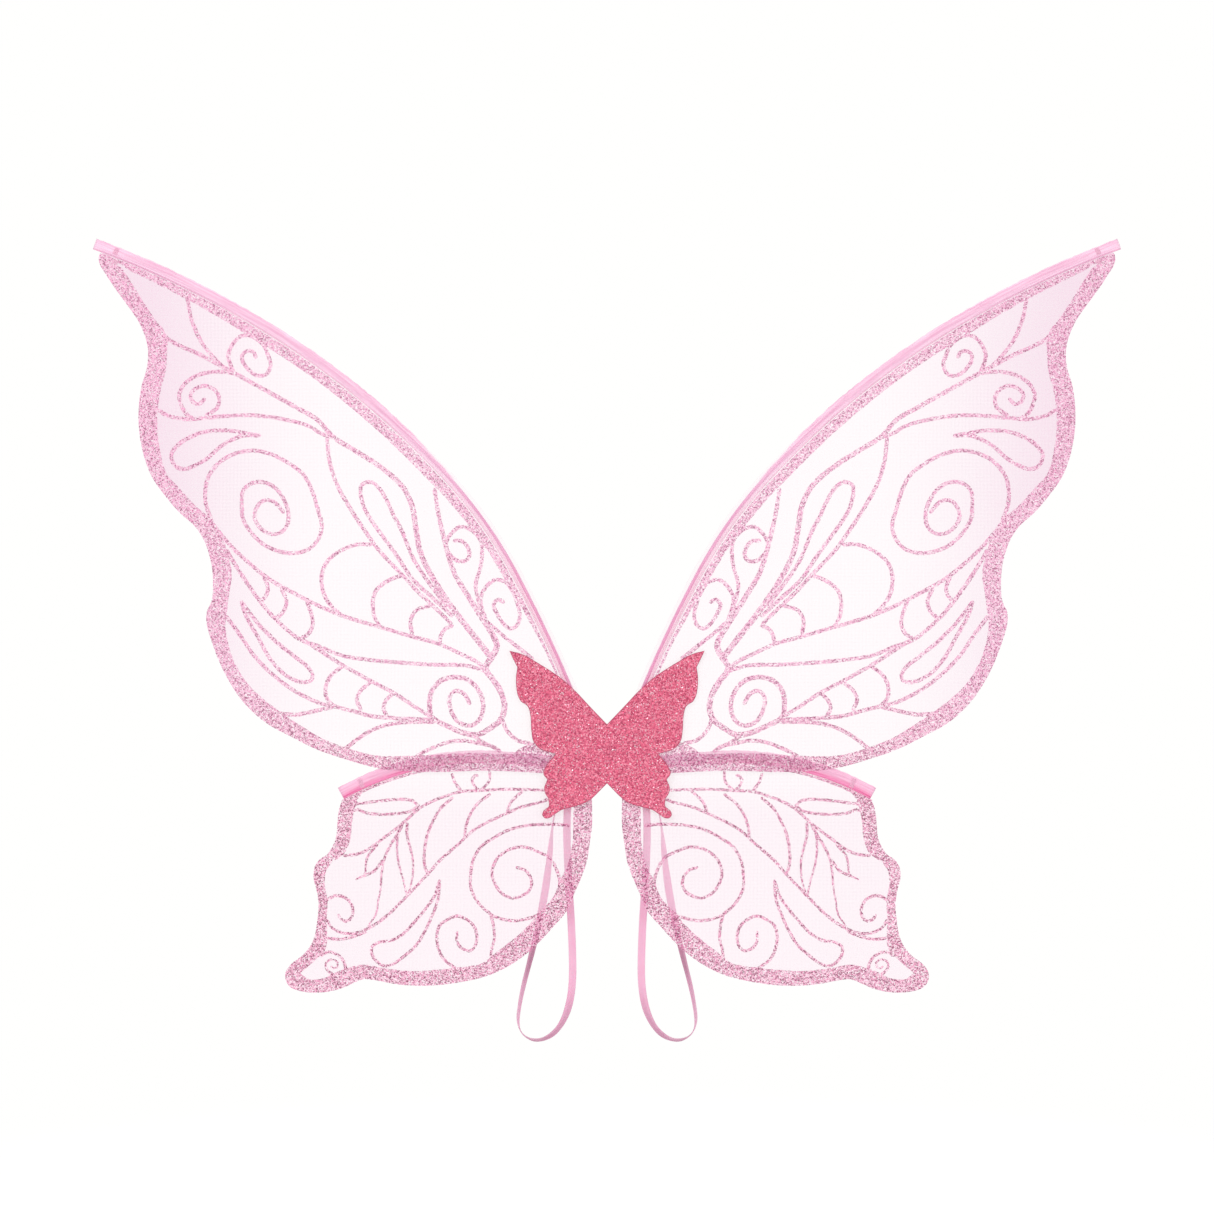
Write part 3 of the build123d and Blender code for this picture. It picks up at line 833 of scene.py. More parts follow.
LOWER_LINES = [
    # leaf under the sleeve
    ([(204, -41), (195, -40), (179, -38), (165, -37), (156, -38), (151, -42)], FINE),
    ([(200, -45), (192, -48), (179, -49), (165, -48), (156, -46), (151, -42)], FINE),
    # the first vein and the leaves that hang from it
    ([(44, -30), (70, -29), (86, -29), (102, -30), (118, -31), (131, -35), (141, -39), (150, -44),
      (159, -52), (167, -59), (179, -68), (193, -78), (201, -81), (210, -82)], FINE),
    ([(164, -58), (168, -65), (174, -75), (178, -84), (180, -94), (181, -107), (183, -118), (185, -129),
      (191, -138)], POINT),
    ([(184, -73), (191, -82), (193, -89), (194, -97), (201, -101)], POINT),
    ([(194, -98), (186, -94), (180, -86)], FINE),
    ([(166, -59), (168, -71), (167, -86), (163, -101), (160, -114)], POINT),
    ([(160, -56), (160, -66), (156, -81), (155, -91), (156, -102), (159, -112)], POINT),
    ([(124, -36), (133, -44), (140, -56), (144, -66), (146, -78), (146, -89), (143, -97)], FINE),
    ([(94, -33), (104, -41), (110, -50), (113, -59), (114, -68)], FINE),
    ([(68, -31), (74, -36), (78, -41), (80, -48)], FINE),
    # the second vein, down to the outer border
    ([(46, -36), (52, -39), (68, -43), (80, -48), (93, -54), (107, -62), (118, -72), (134, -86),
      (141, -94), (160, -114), (174, -128), (184, -136), (193, -141), (201, -144), (211, -144),
      (220, -140), (224, -134)], FINE),
    ([(224, -148), (214, -149), (204, -147), (193, -143)], FINE),
    # small scrolls by the outer border
    ([(224, -117.4), (218.6, -114.4), (212.4, -114.4), (207.1, -117.4), (203.9, -122.7), (203.6, -128),
      (205.7, -133), (209.2, -134.7), (212.7, -133.3), (215, -129.8)], FINE),
    ([(229, -162), (223, -159), (216, -161), (211, -166), (209, -173)], FINE),
    ([(219.4, -177.4), (224.2, -172.5), (225.1, -168.6), (222.1, -165.4), (218, -165.1), (215.4, -167.7),
      (215.9, -171.3), (218.9, -172.2), (220.7, -170.7)], POINT),
    # teardrop
    ([(134, -102), (138, -114), (144, -123), (154, -135), (164, -145), (174, -150), (182, -151),
      (188, -155), (188, -161), (185, -166), (179, -170), (172, -169), (162, -162), (153, -154),
      (146, -143), (140, -130), (135, -116), (134, -102)], FINE),
    # scroll by the bottom border
    ([(121, -172), (131, -164), (135, -155), (136, -146), (134, -138), (128, -133), (120, -130),
      (112, -133), (106, -139), (104, -148), (106, -155), (110, -158), (117, -155), (120, -150),
      (120, -143)], FINE),
    ([(93, -129), (91, -137), (90, -148), (92, -156), (93, -163)], FINE),
    # the large scroll by the shoulder loop
    ([(31, -58), (40, -57), (52, -57), (65, -58), (80, -62), (91, -68), (101, -75), (107, -85),
      (109, -96), (109, -107), (104, -118), (94, -128), (83, -133), (72, -134), (59, -131), (52, -127),
      (42, -116), (38, -104), (40, -94), (46, -84), (57, -78), (68, -75), (80, -78), (89, -86), (92, -96),
      (89, -106), (83, -113), (75, -116), (68, -114), (62.5, -110.5), (60.2, -104.5), (61.3, -99),
      (66, -93.5), (72, -91.5)], FINE),
    # small curls under the upper wing's border
    ([(124, -17), (122, -23), (117, -30)], FINE),
    ([(94, -15), (94, -21), (98, -27), (102, -30), (107, -25), (108, -21), (106, -18), (104, -18)], FINE),
]
BAND_START = 5.0             # rod line to the printed border along the sleeve
BAND_TIP = 9.0               # how far short of the rod's end it stops
band_edge = [          # distance along the rod and the border's inner edge, off the rod line
    (36, 6.6), (90, 7.2), (120, 8.5), (150, 10.6), (180, 10.8), (210, 12.1), (240, 12.8), (270, 13.4),
    (450, 13.4), (480, 12.5), (510, 11.3), (540, 10.6), (562, 9.4), (566, 7.6), (572, 7.6), (575, 12.0),
    (592, 13.0),
]


def stroke(points, widths, ragged):
    """A printed line as overlapping flat shapes: a chain of short pieces and two round ends."""
    run = [Vector(p) for p in smooth_run(points, PRINT_STEP)]
    left = []
    right = []
    for i, here in enumerate(run):
        ahead = (run[min(i + 1, len(run) - 1)] - run[max(i - 1, 0)]).normalized()
        normal = Vector((-ahead.y, ahead.x))
        half = (widths[0] + (widths[1] - widths[0]) * i / (len(run) - 1)) / 2
        left.append(here + normal * (half + ragged.uniform(-LINE_UNEVEN, LINE_UNEVEN)))
        right.append(here - normal * (half + ragged.uniform(-LINE_UNEVEN, LINE_UNEVEN)))
    shapes = [[left[i], right[i], right[i + 1], left[i + 1]] for i in range(len(run) - 1)]
    turns = [math.radians(45 * k + 11) for k in range(8)]
    for centre, width in ((run[0], widths[0]), (run[-1], widths[1])):
        shapes.append([centre + Vector((math.cos(a), math.sin(a))) * width * 0.47 for a in turns])
    return [[tuple(p) for p in shape] for shape in shapes]


def ragged_edge(points, ragged):
    """The slightly uneven edge that glitter gives a printed border."""
    stray = BORDER_UNEVEN
    return [(out + ragged.uniform(-stray, stray), up + ragged.uniform(-stray, stray)) for out, up in points]


def flake_tones(tree, pick, tones):
    """Every flake's own colour: a list of (share, colour), each up to the next one's share."""
    blend = add_node(tree, "ShaderNodeValToRGB", {0: pick})
    ramp = blend.color_ramp
    ramp.interpolation = "CONSTANT"
    ramp.elements[0].color = srgb(tones[0][1])
    ramp.elements[1].position = tones[1][0]
    ramp.elements[1].color = srgb(tones[1][1])
    for position, code in tones[2:]:
        ramp.elements.new(position).color = srgb(code)
    return blend.outputs[0]


def flake_tilt(tree, flakes, amount):
    """The way each flake faces: the face's own way, leant over by the flake's random colour."""
    tilt = add_node(tree, "ShaderNodeVectorMath", {
        0: flakes.outputs["Color"], 1: (0.5, 0.5, 0.5),
    }, operation="SUBTRACT")
    lean = add_node(tree, "ShaderNodeVectorMath", {
        0: tilt.outputs[0], "Scale": amount,
    }, operation="SCALE")
    facing = add_node(tree, "ShaderNodeNewGeometry")
    turned = add_node(tree, "ShaderNodeVectorMath", {
        0: facing.outputs["Normal"], 1: lean.outputs[0],
    }, operation="ADD")
    return add_node(tree, "ShaderNodeVectorMath", {0: turned.outputs[0]}, operation="NORMALIZE").outputs[0]


def glitter_print():
    """Glitter flakes 0.4 mm across in clear ink: pink, mauve and silver, each at its own tilt.

    Single flakes are finer than the view shows, so the cells are drawn 0.8 mm across. Gaps
    between the flakes let what lies behind show through. The lower wings are printed with
    more dark flakes than the upper ones. The silver flakes are drawn near white, as painted
    glints. The faint glow is painted light that brightens the print where it lies in shade."""
    material, tree = new_material("pink_glitter_screen_print")
    place = place_socket(tree)
    flake_size = 0.8 * MM
    flakes = add_node(tree, "ShaderNodeTexVoronoi", {
        "Vector": place, "Scale": 1 / flake_size,
    }, feature="F1")
    pick = add_node(tree, "ShaderNodeSeparateColor", {0: flakes.outputs["Color"]})
    # The near-white last tone in each list is painted glint: silver flakes drawn as if lit.
    upper_tones = flake_tones(tree, pick.outputs[0], (
        (0.0, "#B0648A"), (0.18, "#E59CC2"), (0.38, "#F0B2D1"), (0.68, "#F8CAE0"), (0.86, "#FFF4F9"),
    ))
    lower_tones = flake_tones(tree, pick.outputs[0], (
        (0.0, "#96426A"), (0.24, "#DC82AC"), (0.44, "#F0A8C9"), (0.70, "#FACDE1"), (0.86, "#FFF4F9"),
    ))
    apart = add_node(tree, "ShaderNodeSeparateXYZ", {0: place})
    low_wing = add_node(tree, "ShaderNodeMapRange", {
        "Value": apart.outputs[2], 1: 0.08, 2: -0.06, 3: 0.0, 4: 1.0,
    }, interpolation_type="SMOOTHSTEP")
    toned = add_node(tree, "ShaderNodeMix", {
        0: low_wing.outputs[0], 6: upper_tones, 7: lower_tones,
    }, data_type="RGBA")
    solid = add_node(tree, "ShaderNodeMapRange", {
        "Value": pick.outputs[0], 1: 0.0, 2: 1.0, 3: 0.68, 4: 0.16,
    })
    # The emission is painted light: a faint glow that brightens the print where it lies in shade.
    skin = add_node(tree, "ShaderNodeBsdfPrincipled", {
        "Base Color": toned.outputs[2], "Emission Color": toned.outputs[2], "Emission Strength": 0.13,
        "Metallic": 0.15, "Roughness": 0.38, "Alpha": solid.outputs[0],
        "Normal": flake_tilt(tree, flakes, 0.65),
    })
    add_node(tree, "ShaderNodeOutputMaterial", {"Surface": skin.outputs[0]})
    return material


def print_shapes(lines, width, ragged):
    """The flat shapes of a wing's printed lines, which all start at the same width."""
    return [shape for points, end_width in lines for shape in stroke(points, (width, end_width), ragged)]


def leading_band():
    """The border along the upper sleeve, narrower towards the wing's root."""
    finish = upper_end - BAND_TIP
    stations = rod_line(UPPER_ROD, UPPER_START, finish, BAND_START, 2.5)
    inner = []
    for i in range(len(stations)):
        distance = UPPER_START + (finish - UPPER_START) * i / (len(stations) - 1)
        inner.append(rod_spot(UPPER_ROD, distance, between(band_edge, distance))[0])
    return stations, inner


ragged = random.Random(5)        # where the glitter strays, the same in each build
band_outer, band_inner = leading_band()
upper_shapes = [
    band_outer + ragged_edge(band_inner[::-1], ragged),
    smooth_run(UPPER_OUTLINE, PRINT_STEP)
    + ragged_edge(smooth_run(UPPER_BORDER_INNER, PRINT_STEP)[::-1], ragged),
    [band_outer[-1], (406, 399.6), (401, 388), (388, 388), band_inner[-3]],
    # the patch where the veins meet the border at the root
    [(76, -2), (71, 3), (63, 7.5), (57, 9), (50, 5), (41, -1), (43, -4)],
] + print_shapes(UPPER_LINES, LINE, ragged)
# the thin line along the lower sleeve, which runs to a point under the upper wing
seam_outer = rod_line(LOWER_ROD, 96, lower_end - LOWER_TIP, LOWER_SEAM + 0.2, 3.0)
seam_inner = rod_line(LOWER_ROD, 108, lower_end - LOWER_TIP, LOWER_SEAM + 2.4, 3.0)
lower_shapes = [
    seam_outer + ragged_edge(seam_inner[::-1], ragged),
    # the corner below the open end of the sleeve
    [(211, -36.5), (193.8, -29.5), (200.6, -37.9), (199, -40.1),
     (202.5, -44), (199, -46.2), (206, -48), (213, -42)],
    smooth_run([p for run in LOWER_OUTLINE for p in run], PRINT_STEP)
    + ragged_edge(smooth_edge(LOWER_BORDER_INNER, PRINT_STEP)[::-1], ragged),
] + print_shapes(LOWER_LINES, FINE, ragged)
glitter = glitter_print()
print_cuts = [
    ("upper", *cut_out(upper_shapes, PRINT_GRID), upper_front, upper_lift),
    ("lower", *cut_out(lower_shapes, PRINT_GRID), lower_front, lower_lift),
]
for side_name, side in SIDES:
    for level, flat, triangles, front, lift in print_cuts:
        piece = slab(
            f"{side_name}_{level}_glitter_print", flat, triangles,
            lambda out, up: front + lift(out, up) + PRINT_THICK + PRINT_LIFT,
            PRINT_THICK, side, [glitter], f"{side_name}_wings",
        )


# ---------------------------------------------------------------- rod sleeves
# A strip of thin satin folded round each rod and stitched along the panel's edge, as a flat
# tunnel. It puckers a little between stitches and is left open, cut square, at its far end.
UPPER_SLEEVE = (22.0, 9.0)    # where it starts along the rod, and its width
LOWER_SLEEVE = (19.5, 10.4)
SLEEVE_THICK = 4.2
SLEEVE_WALL = 0.3
SLEEVE_STEP = 3.0             # between sections along the rod
SLEEVE_POINTS = 20            # round each section
rod_depth = -(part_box("left_upper_rod")[0].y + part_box("left_upper_rod")[1].y) / 2 / MM


def sleeve_satin():
    """Thin polyester satin: painted sheen in streaks along it, sheer towards the wing's root and
    denser where it doubles. The faint glow is painted light that brightens the satin where
    the print and the organza shade it."""
    material, tree = new_material("thin_pink_polyester_satin")
    doubled = add_node(tree, "ShaderNodeAttribute", attribute_name="doubled")
    hot = add_node(tree, "ShaderNodeAttribute", attribute_name="deep")
    across = add_node(tree, "ShaderNodeAttribute", attribute_name="across")
    along = add_node(tree, "ShaderNodeAttribute", attribute_name="along")
    dense = add_node(tree, "ShaderNodeMapRange", {
        "Value": doubled.outputs["Fac"], 1: 0.0, 2: 1.0, 3: 0.03, 4: 0.75,
    })
    streak_place = add_node(tree, "ShaderNodeCombineXYZ", {
        0: across.outputs["Fac"], 1: along.outputs["Fac"],
    })
    stretched = add_node(tree, "ShaderNodeMapping", {
        "Vector": streak_place.outputs[0], "Scale": (1.0, 0.03, 1.0),
    })
    streak = add_node(tree, "ShaderNodeTexNoise", {
        "Vector": stretched.outputs[0], "Scale": 0.9, "Detail": 2.0,
    })
    sharper = add_node(tree, "ShaderNodeMapRange", {
        "Value": streak.outputs[0], 1: 0.35, 2: 0.65, 3: 0.0, 4: 1.0,
    })
    # The streaks that lighten and darken the colour along the satin are painted sheen.
    light = add_node(tree, "ShaderNodeMix", {
        0: sharper.outputs[0], 6: srgb("#E6BFD6"), 7: srgb("#F3DAE8"),
    }, data_type="RGBA")
    strong = add_node(tree, "ShaderNodeMix", {
        0: sharper.outputs[0], 6: srgb("#D64B8A"), 7: srgb("#E886B6"),
    }, data_type="RGBA")
    colour = add_node(tree, "ShaderNodeMix", {
        0: hot.outputs["Fac"], 6: light.outputs[2], 7: strong.outputs[2],
    }, data_type="RGBA")
    thread_pitch = 0.8
    ridges = add_node(tree, "ShaderNodeMath", {
        0: across.outputs["Fac"], 1: 2 * math.pi / thread_pitch,
    }, operation="MULTIPLY")
    ridge_wave = add_node(tree, "ShaderNodeMath", {0: ridges.outputs[0]}, operation="COSINE")
    bump = add_node(tree, "ShaderNodeBump", {
        "Height": ridge_wave.outputs[0], "Strength": 0.15, "Distance": 0.0001,
    })
    # The emission is painted light: a faint glow where the print and the organza shade the satin.
    skin = add_node(tree, "ShaderNodeBsdfPrincipled", {
        "Base Color": colour.outputs[2], "Emission Color": colour.outputs[2], "Emission Strength": 0.23,
        "Roughness": 0.36, "Alpha": dense.outputs[0], "Sheen Weight": 0.3, "Sheen Roughness": 0.3,
        "Normal": bump.outputs[0],
    })
    add_node(tree, "ShaderNodeOutputMaterial", {"Surface": skin.outputs[0]})
    return material


satin = sleeve_satin()


def sleeve_ring(width, thick):
    """A flattened tube's section, as (inward, forward)."""
    ring = []
    for k in range(SLEEVE_POINTS):
        angle = 2 * math.pi * k / SLEEVE_POINTS
        c, s = math.cos(angle), math.sin(angle)
        across = width / 2 * math.copysign(abs(c) ** 0.75, c)
        through = thick / 2 * math.copysign(abs(s) ** 0.9, s)
        ring.append((across, through))
    return ring


# How the satin changes along each rod, from (distance along the rod, value): the edge of its
# doubled part, which runs from there to the seam, how dense that is, and how strong its pink.
upper_double = [(0, -1.0), (170, -0.8), (210, -1.2), (240, -1.8), (270, -3.0), (310, -4.6), (600, -4.6)]
upper_dense = [(0, 0.34), (120, 0.28), (200, 0.28), (260, 0.40), (320, 0.66), (600, 0.88)]
upper_deep = [(0, 0.55), (120, 0.45), (200, 0.28), (280, 0.16), (600, 0.17)]
lower_double = [(0, -5.4), (210, -5.4)]
lower_dense = [(0, 0.55), (125, 0.60), (150, 0.85), (210, 0.95)]


def satin_pink(upper, across, distance):
    """How strong a sleeve's pink is at a point, from 0 for pale to 1 for hot pink. The upper
    sleeve is darker at its seam, the stitched seam with painted shade along it, and pale in a
    painted highlight stripe beside it and along its outer rim, which is also a painted highlight."""
    if not upper:
        return 0.26 + ease(across / 3.5) * 0.66
    # seam: painted shade along the stitched seam; stripe and rim: painted highlights on the satin.
    seam = ease((across - 3.2) / 0.8)
    rim = ease((-across - 3.4) / 0.8)
    stripe = math.exp(-((across - 2.5) / 1.1) ** 2) * ease((distance - 200) / 60)
    return between(upper_deep, distance) * (1 - stripe) * (1 - 0.3 * rim) + 0.25 * seam


def rod_sleeve(side_name, side, level, rod, begin, width):
    """One sleeve: a closed wall round its rod, with the puckers that the stitches draw in it."""
    upper = level == "upper"
    end = rod_length(rod)
    stations = round((end - begin) / SLEEVE_STEP)
    wobble = random.Random(31 if upper else 47)
    pucker = [wobble.uniform(-1, 1) for _ in range(stations + 1)]
    rings = []
    doubled = []
    deep = []
    across_values = []
    along_values = []
    for wall in (0.0, SLEEVE_WALL):
        for i in range(stations + 1):
            distance = begin + (end - begin) * i / stations
            edge = between(upper_double if upper else lower_double, distance)
            weight = between(upper_dense if upper else lower_dense, distance)
            ring = sleeve_ring(width - 2 * wall, SLEEVE_THICK - 2 * wall)
            for k, (across, through) in enumerate(ring):
                inside = ease((across - edge) / 0.8)
                fold = math.exp(-((across - edge - 0.6) / 0.5) ** 2) * 0.2
                doubled.append(min(1.0, inside * weight + fold))
                deep.append(satin_pink(upper, across, distance))
                across_values.append(across)
                along_values.append(distance)
                outer_share = 0.5 - across / width
                across += 0.35 * pucker[i] * outer_share * (1 if across < 0 else 0.2)
                through *= 1 + 0.07 * pucker[(i + k // 5) % stations]
                (out, up), _ = rod_spot(rod, distance, across)
                rings.append((side * out * MM, -(rod_depth + through) * MM, up * MM))
    count = SLEEVE_POINTS
    outside = tube_faces(stations + 1, count, closed_ends=False)
    base = len(rings) // 2
    inside_faces = [tuple(base + i for i in face[::-1]) for face in outside]
    rims = []
    for start in (0, stations * count):
        for i in range(count):
            j = (i + 1) % count
            rims.append((start + i, start + j, base + start + j, base + start + i))
    piece = new_piece(
        f"{side_name}_{level}_satin_sleeve", rings, outside + inside_faces + rims,
        [satin], f"{side_name}_wings", smooth=True,
    )
    store_values(piece, doubled=doubled, deep=deep, across=across_values, along=along_values)
    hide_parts(f"{side_name}_{level}_sleeve")


for side_name, side in SIDES:
    rod_sleeve(side_name, side, "upper", UPPER_ROD, *UPPER_SLEEVE)
    rod_sleeve(side_name, side, "lower", LOWER_ROD, *LOWER_SLEEVE)


# ---------------------------------------------------------------- stitching
# Lockstitch in polyester thread: a running row through panel and sleeve along each seam, and
# a close zigzag bar across each sleeve that stops the rod from sliding out.
STITCH_LENGTH = 2.3
STITCH_GAP = 0.9
THREAD = 0.34
UPPER_SEAM_START = 40.0      # along the rod, where each row comes out from what covers it
LOWER_SEAM_START = 122.0
TACK_SETBACK = 20.0          # from a sleeve's open end to its bar
BAR_PASSES = 9               # of the thread in a zigzag bar
BAR_PITCH = 0.42             # between them


def polyester_thread():
    """Spun polyester: two plies twisted together, soft and slightly shiny, with painted shade in
    the grooves between them.
    """
    material, tree = new_material("pink_polyester_thread")
    place = place_socket(tree)
    ply_pitch = 0.5 * MM
    ply = add_node(tree, "ShaderNodeTexWave", {
        "Vector": place, "Scale": BAND_UNIT / ply_pitch, "Distortion": 2.0,
    }, bands_direction="DIAGONAL")
    # Darker where the plies dip: painted shade in the grooves between them.
    colour = add_node(tree, "ShaderNodeMix", {
        0: ply.outputs["Fac"], 6: srgb("#EDA9CA"), 7: srgb("#FBCFE2"),
    }, data_type="RGBA")
    bump = add_node(tree, "ShaderNodeBump", {
        "Height": ply.outputs["Fac"], "Strength": 0.4, "Distance": 0.0001,
    })
    skin = add_node(tree, "ShaderNodeBsdfPrincipled", {
        "Base Color": colour.outputs[2], "Roughness": 0.55, "Sheen Weight": 0.3,
        "Normal": bump.outputs[0],
    })
    add_node(tree, "ShaderNodeOutputMaterial", {"Surface": skin.outputs[0]})
    return material


thread = polyester_thread()


def stitch_solid(start, end, thick):
    """One stitch between two points: a short thread that dives in at both ends."""
    along = end - start
    forward = along.normalized()
    side_a = forward.orthogonal().normalized()
    side_b = forward.cross(side_a)
    points = []
    for share, scale in ((0.0, 0.35), (0.12, 1.0), (0.88, 1.0), (1.0, 0.35)):
        for k in range(6):
            angle = math.pi * k / 3
            round_part = side_a * math.cos(angle) + side_b * math.sin(angle)
            points.append(start + along * share + round_part * thick / 2 * scale)
    return points, tube_faces(4, 6)


def gather(parts):
    """Many small solids as one set of points and faces."""
    points = []
    faces = []
    for part_points, part_faces in parts:
        base = len(points)
        points += part_points
        faces += [tuple(base + i for i in face) for face in part_faces]
    return points, faces


def seam_row(side, rod, begin, finish, inward, depth):
    """Running stitches along a rod line, as solids."""
    parts = []
    distance = begin
    while distance + STITCH_LENGTH < finish:
        ends = []
        for at in (distance, distance + STITCH_LENGTH):
            (out, up), _ = rod_spot(rod, at, inward)
            ends.append(Vector((side * out, -depth, up)) * MM)
        parts.append(stitch_solid(ends[0], ends[1], THREAD * MM))
        distance += STITCH_LENGTH + STITCH_GAP
    return parts


def zigzag_bar(side, rod, distance, low, high, depth):
    """A bar of close zigzag stitches across a sleeve."""
    parts = []
    for k in range(BAR_PASSES):
        ends = []
        for passed, inward in ((k, low), (k + 0.5, high)):
            (out, up), _ = rod_spot(rod, distance + passed * BAR_PITCH, inward)
            ends.append(Vector((side * out, -depth, up)) * MM)
        parts.append(stitch_solid(ends[0], ends[1], THREAD * MM))
    return parts


sleeve_front = rod_depth + SLEEVE_THICK / 2
for side_name, side in SIDES:
    rows = seam_row(side, UPPER_ROD, UPPER_SEAM_START, upper_end - 9, UPPER_LAP + 1.0, upper_front + 0.15)
    rows += seam_row(
        side, LOWER_ROD, LOWER_SEAM_START, lower_end - 2, LOWER_SEAM - 0.75, sleeve_front - 1.0
    )
    points, faces = gather(rows)
    seams = new_piece(
        f"{side_name}_seam_stitches", points, faces, [thread], f"{side_name}_wings", smooth=True
    )
    bars = zigzag_bar(side, UPPER_ROD, upper_end - TACK_SETBACK, -3.6, 2.4, sleeve_front + 0.12)
    bars += zigzag_bar(side, LOWER_ROD, lower_end - TACK_SETBACK, -4.2, 4.2, sleeve_front + 0.12)
    bars += zigzag_bar(side, UPPER_ROD, upper_end - TACK_SETBACK - 3, 6.0, 9.4, upper_front + 0.45)
    points, faces = gather(bars)
    tacks = new_piece(
        f"{side_name}_sleeve_zigzag", points, faces, [thread], f"{side_name}_wings", smooth=True
    )
    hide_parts(f"{side_name}_sleeve_tacks")


# ---------------------------------------------------------------- back pad and strap ends
# Pink felt laminated to 3 mm foam and die-cut, with a row of stitches round it that draws the
# felt down. The ends of each shoulder loop lie flat on its front, held by zigzag bars.
PAD_CORNER = 9.0
PAD_STITCH_INSET = 3.6
STITCH_SUNK = 0.36           # below the felt's face
STRAP_BARS = (3.0, 11.0)     # below the top of each strap end


def felt():
    """Brushed needle felt: matt and fuzzy, with short loose fibres over a mottled ground."""
    material, tree = new_material("pink_needle_felt")
    place = place_socket(tree)
    fibre = add_node(tree, "ShaderNodeTexNoise", {
        "Vector": place, "Scale": 900.0, "Detail": 6.0, "Roughness": 0.8,
    })
    mottle = add_node(tree, "ShaderNodeTexNoise", {"Vector": place, "Scale": 140.0, "Detail": 3.0})
    both = add_node(tree, "ShaderNodeMath", {
        0: fibre.outputs[0], 1: mottle.outputs[0],
    }, operation="MULTIPLY")
    spread = add_node(tree, "ShaderNodeMapRange", {
        "Value": both.outputs[0], 1: 0.12, 2: 0.4, 3: 0.0, 4: 1.0,
    })
    # Partly the felt's own mottled tone, partly painted shade where the fibre bump dips.
    colour = add_node(tree, "ShaderNodeMix", {
        0: spread.outputs[0], 6: srgb("#D9799D"), 7: srgb("#F0A5C0"),
    }, data_type="RGBA")
    bump = add_node(tree, "ShaderNodeBump", {
        "Height": fibre.outputs[0], "Strength": 0.7, "Distance": 0.0004,
    })
    skin = add_node(tree, "ShaderNodeBsdfPrincipled", {
        "Base Color": colour.outputs[2], "Roughness": 0.95, "Sheen Weight": 0.6, "Sheen Roughness": 0.6,
        "Normal": bump.outputs[0],
    })
    add_node(tree, "ShaderNodeOutputMaterial", {"Surface": skin.outputs[0]})
    return material


def closed_foam():
    """Cut closed-cell foam: matt, with tiny open cells."""
    material, tree = new_material("closed_cell_foam")
    place = place_socket(tree)
    cells = add_node(tree, "ShaderNodeTexVoronoi", {"Vector": place, "Scale": 2200.0}, feature="F1")
    bump = add_node(tree, "ShaderNodeBump", {
        "Height": cells.outputs["Distance"], "Strength": 0.4, "Distance": 0.0002,
    })
    skin = add_node(tree, "ShaderNodeBsdfPrincipled", {
        "Base Color": srgb("#F2E3E9"), "Roughness": 0.9, "Normal": bump.outputs[0],
    })
    add_node(tree, "ShaderNodeOutputMaterial", {"Surface": skin.outputs[0]})
    return material


def rounded_rectangle(low, high, corner, per_corner=8):
    """Points round a rectangle with round corners, as (x, z)."""
    points = []
    for centre_x, centre_z, start in (
        (high[0] - corner, high[1] - corner, 0),
        (low[0] + corner, high[1] - corner, 90),
        (low[0] + corner, low[1] + corner, 180),
        (high[0] - corner, low[1] + corner, 270),
    ):
        for k in range(per_corner + 1):
            angle = math.radians(start + 90 * k / per_corner)
            points.append((centre_x + corner * math.cos(angle), centre_z + corner * math.sin(angle)))
    return points


def back_pad():
    """The padded felt, closed all round, and the row of stitches on each of its faces."""
    low, high = (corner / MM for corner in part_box("back_pad"))
    thick = high.y - low.y
    profile = [          # inset from the outline and height above the pad's front, in mm
        (9.0, 0.05), (6.0, 0.0), (PAD_STITCH_INSET + 0.8, 0.12), (PAD_STITCH_INSET, 0.42),
        (PAD_STITCH_INSET - 0.8, 0.16), (1.6, 0.12), (0.7, 0.28), (0.15, 0.75), (0.0, thick * 0.45),
        (0.0, thick * 0.6), (0.15, thick - 0.75), (0.7, thick - 0.28), (1.6, thick - 0.12),
        (PAD_STITCH_INSET - 0.8, thick - 0.16), (PAD_STITCH_INSET, thick - 0.42),
        (PAD_STITCH_INSET + 0.8, thick - 0.12), (6.0, thick), (9.0, thick - 0.02),
    ]
    points = []
    for inset, rise in profile:
        ring = rounded_rectangle(
            (low.x + inset, low.z + inset), (high.x - inset, high.z - inset), max(PAD_CORNER - inset, 0.6)
        )
        points += [(x * MM, (low.y + rise) * MM, z * MM) for x, z in ring]
    count = len(ring)
    faces = tube_faces(len(profile), count)
    pad = new_piece("felt_back_pad", points, faces, [felt()], "centre", smooth=True)
    pad.data.set_sharp_from_angle(angle=math.radians(75))
    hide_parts("back_pad")
    inset = PAD_STITCH_INSET
    track = rounded_rectangle(
        (low.x + inset, low.z + inset), (high.x - inset, high.z - inset), PAD_CORNER - inset, 5
    )
    track.append(track[0])
    rows = []
    for depth in (low.y + STITCH_SUNK, high.y - STITCH_SUNK):
        for a, b in zip(track, track[1:]):
            start = Vector((a[0], depth, a[1]))
            end = Vector((b[0], depth, b[1]))
            pieces = max(1, round((end - start).length / (STITCH_LENGTH + STITCH_GAP)))
            for k in range(pieces):
                first = start.lerp(end, (k + 0.14) / pieces)
                last = start.lerp(end, (k + 0.86) / pieces)
                if (last - first).length > 0.5:
                    rows.append(stitch_solid(first * MM, last * MM, THREAD * MM))
    points, faces = gather(rows)
    stitches = new_piece("pad_edge_stitches", points, faces, [thread], "centre", smooth=True)


back_pad()
finish_cad("centre_spacer", closed_foam())


